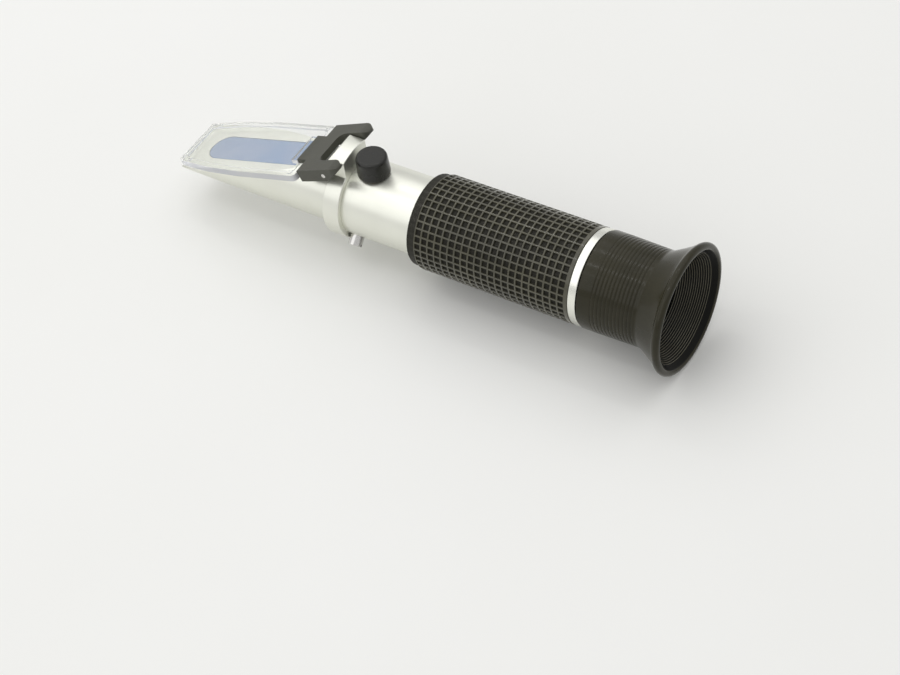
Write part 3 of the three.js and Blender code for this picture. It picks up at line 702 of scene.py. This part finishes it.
# The steps that sink a pit: how far in from its edges, and how much deeper.
PIT_STEPS = [(0.15, 0.0), (0.1, -0.08), (0.14, -0.4), (0.12, -0.08)]
_, grip_rear, grip_radius = span("rubber_grip")
grip_outline = [
    (0, TUBE_RADIUS + FIT),
    (0, grip_radius - 0.7),
    (0.1, grip_radius - 0.52),
    (0.4, grip_radius - 0.45),
    (GRIP_FRONT_BAND - 0.3, grip_radius - 0.43),
]
for cell in range(GRIP_CELLS_ALONG + 1):
    grip_outline.append((GRIP_FRONT_BAND + cell * GRIP_PITCH, grip_radius))
grip_outline += [
    (grip_rear - 0.15, grip_radius),
    (grip_rear, grip_radius - 0.15),
    (grip_rear, TUBE_RADIUS + FIT),
]


def waffle_cells(piece):
    """Selects the faces of the grip's skin that become pits, then sinks each of them."""
    reach = grip_radius * math.cos(math.pi / GRIP_CELLS_ROUND) * MM - 0.00005
    front = place(GRIP_FRONT_BAND).x
    rear = place(GRIP_FRONT_BAND + GRIP_CELLS_ALONG * GRIP_PITCH).x
    for face in piece.data.polygons:
        centre = face.center
        radius = math.hypot(centre.y, centre.z - AXIS_HEIGHT)
        face.select = front < centre.x < rear and radius > reach and abs(face.normal.x) < 0.1
    bpy.ops.object.mode_set(mode="EDIT")
    bpy.ops.mesh.select_mode(type="FACE")
    for thickness, depth in PIT_STEPS:
        bpy.ops.mesh.inset(thickness=thickness * MM, depth=depth * MM, use_individual=True)
    bpy.ops.object.mode_set(mode="OBJECT")


grip = turned("waffle_grip", grip_outline, GRIP_CELLS_ROUND)
for vertex_part in (grip.data.vertices, grip.data.edges):
    vertex_part.foreach_set("select", [False] * len(vertex_part))
waffle_cells(grip)
# Its colour holds painted shade in the grip's pits.
GRIP_RUBBER = waffle_finish(grip_radius - 0.5, grip_radius - 0.06)
dress(grip, "barrel", GRIP_RUBBER, "black_rubber", "rubber_grip", angle=30)

ring_front, ring_rear, ring_radius = span("trim_ring")
ring_outline = eased(
    [
        (ring_front, TUBE_RADIUS + FIT),
        (ring_front, ring_radius),
        (ring_rear, ring_radius),
        (ring_rear, TUBE_RADIUS + FIT),
    ],
    0.28,
)
dress(turned("bright_ring", ring_outline, 128), "barrel", RING, "satin_metal", "trim_ring")

# ---- Prism housing: wedge head, collar and hinge block ----

head_front, collar_rear, _ = span("prism_housing")
COLLAR_RADIUS = (AXIS_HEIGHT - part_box("prism_housing")[0].z) / MM
COLLAR_LENGTH = 5.2
collar_front = collar_rear - COLLAR_LENGTH
HEAD_RADIUS = 9.8
BLOCK_RADIUS = 17
BLOCK_HALF_WIDTH = 5.45
BLOCK_FOOT = 8
BLOCK_AHEAD = 1.65
BLOCK_BORE = 0.8
# The block's front edge is cut on a slope, so that the bracket can swing past it.
SLOPE_START = 15.3
SLOPE_OUTWARD = Vector((-0.81, 0, 0.585))
LIGHT_RADIUS = 6.5
PRISM_DROP = 2.4
PRISM_TIP = 51.0
PRISM_REAR = 15
PRISM_HALF_WIDTH = 4.75
prism_low, prism_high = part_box("main_prism")
PRISM_FOOT = (prism_low.z - AXIS_HEIGHT) / MM
prism_end = (prism_high.x - GRIP_FRONT) / MM

head_outline = eased(drum(head_front, collar_front + 1, HEAD_RADIUS), 0.2)
head = turned("prism_housing_shell", head_outline, 128)
slice_off(head, from_pin(0, 0, -PRISM_DROP), LIFT)

collar_outline = eased(drum(collar_front, collar_rear, COLLAR_RADIUS), 0.3)
work(head, turned("collar", collar_outline, 128), "UNION")

block_front = (PIN.x - GRIP_FRONT) / MM - BLOCK_AHEAD
arch = []
for step in range(17):
    across = BLOCK_HALF_WIDTH * (1 - step / 8)
    arch.append((across, math.sqrt(BLOCK_RADIUS**2 - across**2)))
arch += [(-BLOCK_HALF_WIDTH, BLOCK_FOOT), (BLOCK_HALF_WIDTH, BLOCK_FOOT)]
hinge_block = cut_from_sheet("hinge_block", arch, block_front, collar_rear, place(0), ACROSS, UP, ALONG)
slice_off(hinge_block, place(block_front, 0, SLOPE_START), SLOPE_OUTWARD)
soften(hinge_block, 0.3, 3, 25)
work(head, hinge_block, "UNION")


def prism_outline(margin):
    """The measuring prism's outline in its own plane, round at the tip."""
    half = PRISM_HALF_WIDTH + margin
    centre = PRISM_TIP - PRISM_HALF_WIDTH
    tip = [
        (centre + half * math.sin(math.pi * step / 24), half * math.cos(math.pi * step / 24))
        for step in range(25)
    ]
    return [(PRISM_REAR - margin - 3, half), *tip, (PRISM_REAR - margin - 3, -half)]


def prism_block(name, margin, top, foot):
    """A block under the prism's outline, down to a level foot and back to an upright end."""
    made = cut_from_sheet(name, prism_outline(margin), -24, top, *ON_PIN)
    slice_off(made, place(0, 0, foot), -UP)
    slice_off(made, place(prism_end + margin), ALONG)
    return made


light_path = [
    (prism_end - 2, 0),
    (prism_end - 2, LIGHT_RADIUS),
    (tube_front - 0.8, LIGHT_RADIUS),
    (tube_front - 0.8, SPIGOT_RADIUS + FIT),
    (collar_rear + 2, SPIGOT_RADIUS + FIT),
    (collar_rear + 2, 0),
]
work(head, turned("light_path", light_path, 64), "DIFFERENCE")
work(head, prism_block("prism_pocket", FIT, 4, PRISM_FOOT - 0.4), "DIFFERENCE")
work(head, turned("pin_bore", drum(-8, 8, BLOCK_BORE), 32, PIN, ACROSS, UP), "DIFFERENCE")
dress(head, "barrel", SATIN, "satin_metal", "prism_housing")

prism = prism_block("measuring_prism", 0, -PRISM_DROP, PRISM_FOOT)
soften(prism, 0.1, 2, 40)
dress(prism, "barrel", PRISM_GLASS, "prism_glass", "main_prism")

# ---- Daylight plate ----

PLATE_TIP = 57.2
PLATE_REAR = 10.5
PLATE_HALF_WIDTH = 10.8
PLATE_TIP_HALF_WIDTH = 8
PLATE_UNDER = -2.1
PLATE_TOP = -0.7
PLATE_RIM_TOP = -0.2
PLATE_RIM_WIDTH = 1.7
TONGUE_FRONT = 12.7
TONGUE_HALF_WIDTH = 5.1
TAIL_REAR = 6.2
TAIL_HALF_WIDTH = 4.8
BOSS_PLACES = [(53.4, 7.7), (53.4, -7.7), (12.9, 9.2), (12.9, -9.2)]
# The plate's side, from its tip: shares of its length and of its widening.
PLATE_SIDE_SHARES = [(0, 0), (0.02, 0.12), (0.085, 0.3), (0.27, 0.75), (0.52, 1)]


def plate_side(inset):
    """One long side of the plate, from its tip to its hinge end."""
    length = PLATE_TIP - PLATE_REAR
    taper = PLATE_HALF_WIDTH - PLATE_TIP_HALF_WIDTH
    side = []
    for along, widening in PLATE_SIDE_SHARES:
        half = PLATE_TIP_HALF_WIDTH + widening * taper - inset
        side.append((PLATE_TIP - inset - along * (length - 2 * inset), half))
    return [*side, (PLATE_REAR + inset, PLATE_HALF_WIDTH - inset)]


def plate_outline(inset, ease):
    """The plate's outline, with its corners rounded."""
    side = plate_side(inset)
    corners = [(*point, ease) for point in side] + [(a, -b, ease) for a, b in reversed(side)]
    return eased(corners, ease, 5)


plate = cut_from_sheet("daylight_tray", plate_outline(0, 1.6), PLATE_UNDER, PLATE_RIM_TOP, *ON_PIN)
floor_cut = cut_from_sheet("tray_cut", plate_outline(PLATE_RIM_WIDTH, 1.2), PLATE_TOP, 3, *ON_PIN)
work(plate, floor_cut, "DIFFERENCE", merge=False)
tongue_room = block(
    "tongue_room",
    (0, -TONGUE_HALF_WIDTH - 0.3, PLATE_TOP),
    (TONGUE_FRONT + 0.3, TONGUE_HALF_WIDTH + 0.3, 3),
    *ON_PIN,
)
work(plate, tongue_room, "DIFFERENCE", merge=False)
tail = block(
    "plate_tail",
    (TAIL_REAR, -TAIL_HALF_WIDTH, PLATE_UNDER),
    (PLATE_REAR + 1, TAIL_HALF_WIDTH, PLATE_TOP),
    *ON_PIN,
)
work(plate, tail, "UNION", merge=False)
ridge = block(
    "plate_ridge",
    (TONGUE_FRONT + 0.35, -TONGUE_HALF_WIDTH, PLATE_TOP - 0.4),
    (TONGUE_FRONT + 2.5, TONGUE_HALF_WIDTH, 0.5),
    *ON_PIN,
)
work(plate, ridge, "UNION", merge=False)
boss_outline = eased(
    [
        (PLATE_RIM_TOP - 0.2, 0),
        (PLATE_RIM_TOP - 0.2, 0.95),
        (PLATE_RIM_TOP + 0.18, 0.8),
        (PLATE_RIM_TOP + 0.18, 0.42),
        (PLATE_RIM_TOP + 0.02, 0),
    ],
    0.08,
)
for forward, across in BOSS_PLACES:
    boss = turned("plate_boss", boss_outline, 24, from_pin(forward, across), LIFT, FORWARD)
    work(plate, boss, "UNION", merge=False)
# The joined skin is closed up before its edges are rounded.
choose(plate)
bpy.ops.object.mode_set(mode="EDIT")
close_up()
soften(plate, 0.16, 3, 35)
dress(plate, "daylight_flap", ACRYLIC, "clear_acrylic", "daylight_plate")
# Its upright faces are the moulded edge.
plate.data.materials.append(ACRYLIC_EDGE)
for face in plate.data.polygons:
    face.material_index = 1 if abs(face.normal.dot(LIFT)) < 0.8 else 0

# ---- Bracket and hinge pin ----

ARM_INNER = BLOCK_HALF_WIDTH + 0.3
ARM_WIDTH = 4.2
ARM_OUTER = ARM_INNER + ARM_WIDTH
ARM_FRONT = 9.4
ARM_REAR = 5.2
BRIDGE_REAR = 4.4
BRIDGE_FILLET = 2.4
TONGUE_UNDER = -0.4
ARM_BORE = 0.76
PIN_RADIUS = 0.68
PLATE_OPENS = 80


def bracket_plan():
    """The bracket seen from above: a U with round ends and filleted corners."""
    arm_end = ARM_REAR - ARM_WIDTH / 2
    reach = ARM_WIDTH / 2
    half = [(ARM_FRONT, ARM_OUTER)]
    for step in range(13):
        angle = math.pi / 2 - math.pi * step / 12
        half.append((-arm_end - reach * math.cos(angle), ARM_INNER + reach * (1 + math.sin(angle))))
    middle = BRIDGE_REAR - BRIDGE_FILLET
    for step in range(7):
        angle = math.pi / 2 + math.pi / 2 * step / 6
        across = ARM_INNER - BRIDGE_FILLET * (1 - math.sin(angle))
        half.append((middle - BRIDGE_FILLET * math.cos(angle), across))
    return half + [(a, -b) for a, b in reversed(half)]


# The arms from the side: forward of the pin and above it, ending in the round rear.
ARM_PROFILE = [
    (9.4, 1.0),
    (9.05, -2.6),
    (-0.7, -1.7),
    (-3.4, -0.05),
    (-4.5, 0.65),
    (-5.0, 1.1),
    (-5.2, 1.55),
    (-5.05, 2.0),
    (-4.6, 2.36),
    (-3.9, 2.56),
    (-2.8, 2.6),
]
bracket = cut_from_sheet("hinge_bracket", bracket_plan(), -3, 3, *ON_PIN)
profile = cut_from_sheet("arm_profile", ARM_PROFILE, -12, 12, PIN, FORWARD, LIFT, ACROSS)
work(bracket, profile, "INTERSECT")
room = block("bracket_room", (-7, -ARM_INNER, -6), (TONGUE_FRONT + 1, ARM_INNER, TONGUE_UNDER), *ON_PIN)
work(bracket, room, "DIFFERENCE")
tongue = block(
    "bracket_tongue",
    (ARM_FRONT - 1.5, -TONGUE_HALF_WIDTH, TONGUE_UNDER),
    (TONGUE_FRONT, TONGUE_HALF_WIDTH, 1.0),
    *ON_PIN,
)
work(bracket, tongue, "UNION")
soften(bracket, 0.34, 3, 35)
pin_hole = turned("pin_hole", drum(-12, 12, ARM_BORE), 32, PIN, ACROSS, UP)
work(bracket, pin_hole, "DIFFERENCE")
# Room for the collar, taken away at every ten degrees of the plate's swing.
COLLAR_ROOM = [
    (collar_front - 0.3, 7),
    (collar_front - 0.3, COLLAR_RADIUS + 0.3),
    (collar_rear + 0.3, COLLAR_RADIUS + 0.3),
    (collar_rear + 0.3, 7),
]
for opening in range(0, PLATE_OPENS + 1, 10):
    swing = Matrix.Rotation(math.radians(-opening), 3, "Y")
    centre = PIN + swing @ (place(0) - PIN)
    collar_room = turned("collar_room", COLLAR_ROOM, 96, centre, swing @ ALONG, swing @ UP)
    work(bracket, collar_room, "DIFFERENCE")
dress(bracket, "daylight_flap", PLASTIC, "black_plastic", "plate_bracket")

pin_half = (pin_high.y - pin_low.y) / 2 / MM
pin_outline = eased(drum(-pin_half, pin_half, PIN_RADIUS), 0.15)
steel_pin = turned("steel_pin", pin_outline, 32, PIN, ACROSS, UP)
dress(steel_pin, "daylight_flap", STEEL, "bright_steel", "hinge_pin")

# ---- Calibration screw, bush and rubber cap ----

CAP_BORE = 3.3
CAP_ROOF = 1.4
BUSH_BORE = 1.9
BUSH_NECK = 2.6
SLOT_HALF_WIDTH = 0.3
cap_outline = eased(
    [
        (cap_foot, CAP_BORE),
        (cap_foot, cap_radius, 0.25),
        (cap_top, cap_radius - 0.25, 1.0),
        (cap_top - 0.04, 0),
        (cap_top - CAP_ROOF, 0),
        (cap_top - CAP_ROOF, CAP_BORE),
    ],
    0.3,
    6,
)
# The outline has to start and end on the axis.
on_axis = next(index for index, point in enumerate(cap_outline) if point[1] == 0)
cap_outline = cap_outline[on_axis + 1 :] + cap_outline[: on_axis + 1]
cap = turned("zero_cap", cap_outline, 96, place(cap_x), UP, ALONG)
dress(cap, "rubber_cap", CAP_RUBBER, "black_rubber", "calibration_cap")

bush_outline = eased(
    [
        (bush_foot, BUSH_BORE),
        (bush_foot, BUSH_NECK),
        (TUBE_RADIUS - 1, BUSH_NECK),
        (TUBE_RADIUS - 1, bush_radius),
        (bush_top, bush_radius),
        (bush_top, BUSH_BORE),
    ],
    0.2,
)
bush = turned("zero_bush", bush_outline, 64, place(bush_x), UP, ALONG)
dress(bush, "barrel", BRASS, "brass", "calibration_bush")

_, screw_foot, screw_top, screw_radius = heights("calibration_screw")
screw_outline = eased(drum(screw_foot, screw_top, screw_radius), 0.25)
zero_screw = turned("zero_screw_slotted", screw_outline, 48, place(bush_x), UP, ALONG)
screw_slot = block(
    "screw_slot",
    (bush_x - 3, -SLOT_HALF_WIDTH, screw_top - 0.9),
    (bush_x + 3, SLOT_HALF_WIDTH, screw_top + 1),
)
work(zero_screw, screw_slot, "DIFFERENCE")
dress(zero_screw, "zero_screw", STEEL, "bright_steel", "calibration_screw")

# ---- Side screw ----

# The screw stands square on the tube, low on the near side.
SIDE_ANGLE = math.radians(43)
side_out = Vector((0, -math.cos(SIDE_ANGLE), -math.sin(SIDE_ANGLE)))
side_x = heights("side_screw")[0]
side_outline = eased([(9.5, 0), (9.5, 1.2), (10.6, 1.2), (10.6, 1.95), (13.9, 1.95), (13.9, 0)], 0.3)
side_screw = turned("side_screw_slotted", side_outline, 48, place(side_x), side_out, ALONG)
side_slot = block(
    "side_slot",
    (-3, -SLOT_HALF_WIDTH, 13.1),
    (3, SLOT_HALF_WIDTH, 15),
    place(side_x),
    ALONG,
    side_out.cross(ALONG),
    side_out,
)
work(side_screw, side_slot, "DIFFERENCE")
dress(side_screw, "barrel", STEEL, "bright_steel", "side_screw")

# ---- Eyecup ----

CUP_BAND = 3.9
CUP_RIBS = 12
CUP_RIB_PITCH = 1.06
CUP_RIB_DEPTH = 0.13
CUP_INNER_RIBS = 15
SLEEVE_RADIUS = 13.47
SLEEVE_TAIL_RADIUS = 13.22
RIM_RADIUS = 17.05
# One rib of the sleeve: shares of its pitch, and of the groove's depth there.
RIB_PROFILE = [(0.04, 0.6), (0.14, 1.0), (0.24, 0.7), (0.34, 0.12), (0.42, 0), (0.86, 0), (0.95, 0.15)]
# One ring inside the cup: shares of its pitch, and how far it stands in from the wall.
INNER_RIB_PROFILE = [(0.08, 0.0), (0.3, 0.02), (0.46, 0.2), (0.6, 0.22), (0.74, 0.2), (0.9, 0.02)]
# The flare: shares of its length and of its rise, from the last rib to the rim's bead.
FLARE_SHARES = [(0, 0), (0.03, 0.004), (0.06, 0.02), (0.11, 0.06), (0.25, 0.19)]
FLARE_SHARES += [(0.4, 0.34), (0.55, 0.49), (0.7, 0.65), (0.85, 0.82), (1, 1)]
# The rim's bead, from the flare round to the inner lip: set back from the end and in from the radius.
RIM_BEAD = [(2.3, 0.72), (1.95, 0.36), (1.6, 0.12), (1.2, 0), (0.75, 0.03), (0.4, 0.2), (0.14, 0.5)]
RIM_BEAD += [(0.02, 0.9), (0, 1.3), (0.1, 1.6), (0.35, 1.85), (0.7, 2.05), (1.3, 2.4)]

cup_front, cup_rear, cup_radius = span("eyecup")
focus_end = span("focus_ring")[1]
rib_start = cup_front + CUP_BAND
cup_outline = [
    (cup_front, 12.5),
    (cup_front, SLEEVE_RADIUS - 0.35),
    (cup_front + 0.08, SLEEVE_RADIUS - 0.12),
    (cup_front + 0.3, SLEEVE_RADIUS),
    (rib_start - 0.1, SLEEVE_RADIUS),
]
for rib in range(CUP_RIBS):
    base = rib_start + rib * CUP_RIB_PITCH
    crest = SLEEVE_RADIUS - (SLEEVE_RADIUS - SLEEVE_TAIL_RADIUS) * (rib + 0.5) / CUP_RIBS
    for along, drop in RIB_PROFILE:
        cup_outline.append((base + along * CUP_RIB_PITCH, crest - drop * CUP_RIB_DEPTH))

flare_start = rib_start + CUP_RIBS * CUP_RIB_PITCH + 0.1
flare_length = cup_rear - 2.5 - flare_start
for along, rise in FLARE_SHARES:
    radius = SLEEVE_TAIL_RADIUS + rise * (RIM_RADIUS - SLEEVE_TAIL_RADIUS)
    cup_outline.append((flare_start + along * flare_length, radius))
cup_outline += [(cup_rear - back, cup_radius - inward) for back, inward in RIM_BEAD]
cone_start = (cup_rear - 1.7, cup_radius - 2.62)
cone_end = (focus_end + 1.0, 10.5)
cup_outline.append(cone_start)
for rib in range(CUP_INNER_RIBS):
    for along, drop in INNER_RIB_PROFILE:
        share = (rib + along) / CUP_INNER_RIBS
        x = cone_start[0] + share * (cone_end[0] - cone_start[0])
        radius = cone_start[1] + share * (cone_end[1] - cone_start[1])
        cup_outline.append((x + drop * 0.5, radius - drop * 0.85))
cup_outline += [cone_end, (focus_end + 0.05, 10.45), (focus_end + 0.05, 12.5)]
cup = turned("flared_eyecup", cup_outline, 144)
dress(cup, "eyepiece_ring", CUP_RUBBER, "black_rubber", "eyecup")
cup.data.materials.append(CUP_INSIDE_SHADE)
cup.data.materials.append(CUP_CREST_HIGHLIGHT)
cone_slope = (cone_end[1] - cone_start[1]) / (cone_end[0] - cone_start[0])
for face in cup.data.polygons:
    along = (face.center.x - GRIP_FRONT) / MM
    radius = math.hypot(face.center.y, face.center.z - AXIS_HEIGHT) / MM
    wall = cone_start[1] + (along - cone_start[0]) * cone_slope
    # The cone inside is coloured darker and duller than the outside as painted shade, and its rings are
    # paler on their crests as painted highlight.
    if focus_end < along < cup_rear - 0.3 and radius < wall + 0.6:
        face.material_index = 2 if along < cone_start[0] and wall - radius > 0.19 else 1

# ---- Eyepiece lens and its ring, seen through the eyecup ----

CARRIER_BORE = 6.7
LENS_SEAT = 7.92
carrier_front, carrier_rear, carrier_radius = span("lens_carrier")
carrier_outline = eased(
    [
        (carrier_front, CARRIER_BORE),
        (carrier_front, carrier_radius),
        (carrier_rear, carrier_radius),
        (carrier_rear, LENS_SEAT),
        (carrier_front + 1.4, LENS_SEAT),
        (carrier_front + 1.4, CARRIER_BORE),
    ],
    0.15,
)
dress(turned("lens_barrel", carrier_outline, 96), "ocular", DARK_METAL, "black_aluminium", "lens_carrier")

keeper_front, keeper_rear, keeper_radius = span("eye_lens_retainer")
keeper_outline = eased(
    [
        (keeper_front, 6.2),
        (keeper_front, keeper_radius),
        (keeper_rear, keeper_radius),
        (keeper_rear, 6.6),
        (keeper_front + 0.5, 6.2),
    ],
    0.12,
)
keeper = turned("lens_keeper_ring", keeper_outline, 96)
keeper_slot = block("keeper_slot", (keeper_rear - 0.6, -10, -0.5), (keeper_rear + 1, 10, 0.5))
work(keeper, keeper_slot, "DIFFERENCE")
dress(keeper, "ocular", DARK_METAL, "black_aluminium", "eye_lens_retainer")


def lens(name, node, front_bulge, rear_bulge):
    """A round lens with domed faces."""
    front, rear, radius = span(node)
    edge_front = front + front_bulge
    edge_rear = rear - rear_bulge
    shares = [step / 8 for step in range(9)]
    front_face = [(edge_front - front_bulge * (1 - share**2), radius * share) for share in shares]
    rear_face = [(edge_rear + rear_bulge * (1 - share**2), radius * share) for share in shares]
    return turned(name, front_face + rear_face[::-1], 64)


dress(lens("eye_lens_glass", "eye_lens", 0.9, 0), "ocular", GLASS, "lens_glass", "eye_lens")
dress(lens("field_lens_glass", "field_lens", 0, 1.6), "ocular", GLASS, "lens_glass", "field_lens")
objective = lens("objective_lens_glass", "objective_lens", 0.7, 0)
dress(objective, "compensator", GLASS, "lens_glass", "objective_lens")

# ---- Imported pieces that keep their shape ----

KEPT = {
    "prism_cement": CEMENT,
    "housing_seal": SEAL_RUBBER,
    "objective_cell": DARK_METAL,
    "bimetal_strip": BRASS,
    "strip_clamp": DARK_METAL,
    "clamp_screw": STEEL,
    "light_stop": DARK_METAL,
    "reticle_cell": DARK_METAL,
    "reticle": GLASS,
    "reticle_retainer": BRASS,
    "guide_screw": STEEL,
    "lens_spacer": DARK_METAL,
    "focus_circlip": STEEL,
    "focus_ring": PLASTIC,
}
for node, finish in KEPT.items():
    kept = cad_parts[node]
    kept.data.materials.clear()
    kept.data.materials.append(finish)

# ---- Table, light and camera ----

bpy.ops.mesh.primitive_plane_add(size=6, location=(0, 0, -0.0002))
table = bpy.context.active_object
table.name = "table_top"
bpy.ops.object.transform_apply(location=True)
table.data.materials.append(TABLE)

scene = bpy.context.scene
scene.view_settings.view_transform = "Standard"

# The white sky is full behind the object and through glass, less in reflections, least on dull faces.
SKY_IN_REFLECTIONS = 0.66
SKY_ON_DULL_FACES = 0.56
world = bpy.data.worlds.new("studio")
scene.world = world
world.use_nodes = True
sky = world.node_tree
background = next(n for n in sky.nodes if n.type == "BACKGROUND")
background.inputs["Color"].default_value = (1.0, 1.0, 1.0, 1)
path = add_node(sky, "ShaderNodeLightPath").outputs
direct = calculate(sky, "MAXIMUM", path["Is Camera Ray"], path["Is Transmission Ray"])
mirrored = remap(sky, path["Is Glossy Ray"], 0.0, 1.0, SKY_ON_DULL_FACES, SKY_IN_REFLECTIONS)
sky.links.new(calculate(sky, "MAXIMUM", direct, mirrored), background.inputs["Strength"])


def soft_lamp(name, where, size, power, target):
    """A soft lamp that faces a point, with its first side along the optical axis."""
    data = bpy.data.lights.new(name, "AREA")
    data.shape = "RECTANGLE"
    data.size, data.size_y = size
    data.energy = power
    lamp = bpy.data.objects.new(name, data)
    scene.collection.objects.link(lamp)
    lamp.location = where
    look = (Vector(target) - Vector(where)).normalized()
    side = (ALONG - look * look.x).normalized()
    lamp.rotation_euler = Matrix((side, side.cross(look), -look)).transposed().to_euler()


soft_lamp("overhead_lamp", (-0.15, 0.10, 0.85), (1.8, 1.6), 5.4, (0, 0, 0))
soft_lamp("near_lamp", (-0.60, -1.00, 0.75), (1.3, 0.9), 2.6, (0, 0, 0.01))
soft_lamp("far_strip", (-0.30, 0.30, 0.80), (0.6, 0.012), 0.3, (0.04, 0, 0.02))
soft_lamp("near_strip", (-0.30, -0.22, 0.82), (0.6, 0.012), 0.3, (0.04, 0, 0.02))

# The photograph's own frame is 900 by 675; its optical centre lies one pixel above the middle.
FRAME_WIDTH = 900
LENS_PIXELS = 2084
SENSOR_WIDTH = 36
camera_data = bpy.data.cameras.new("photo_camera")
camera_data.sensor_width = SENSOR_WIDTH
camera_data.lens = LENS_PIXELS / FRAME_WIDTH * SENSOR_WIDTH
camera_data.shift_y = -1 / FRAME_WIDTH
camera_data.clip_start = 0.01
camera_data.clip_end = 20
camera = bpy.data.objects.new("photo_camera", camera_data)
scene.collection.objects.link(camera)
# The camera's own directions and place, solved from the round edges in the photograph.
right = Vector((0.844841, 0.521036, -0.121513))
upward = Vector((-0.322357, 0.676994, 0.661638))
backward = Vector((0.427001, -0.519808, 0.739912))
turn = Matrix((right, upward, backward)).transposed()
camera.location = place(254.07, -310.90, 394.19)
camera.rotation_mode = "QUATERNION"
camera.rotation_quaternion = turn.to_quaternion()
scene.camera = camera
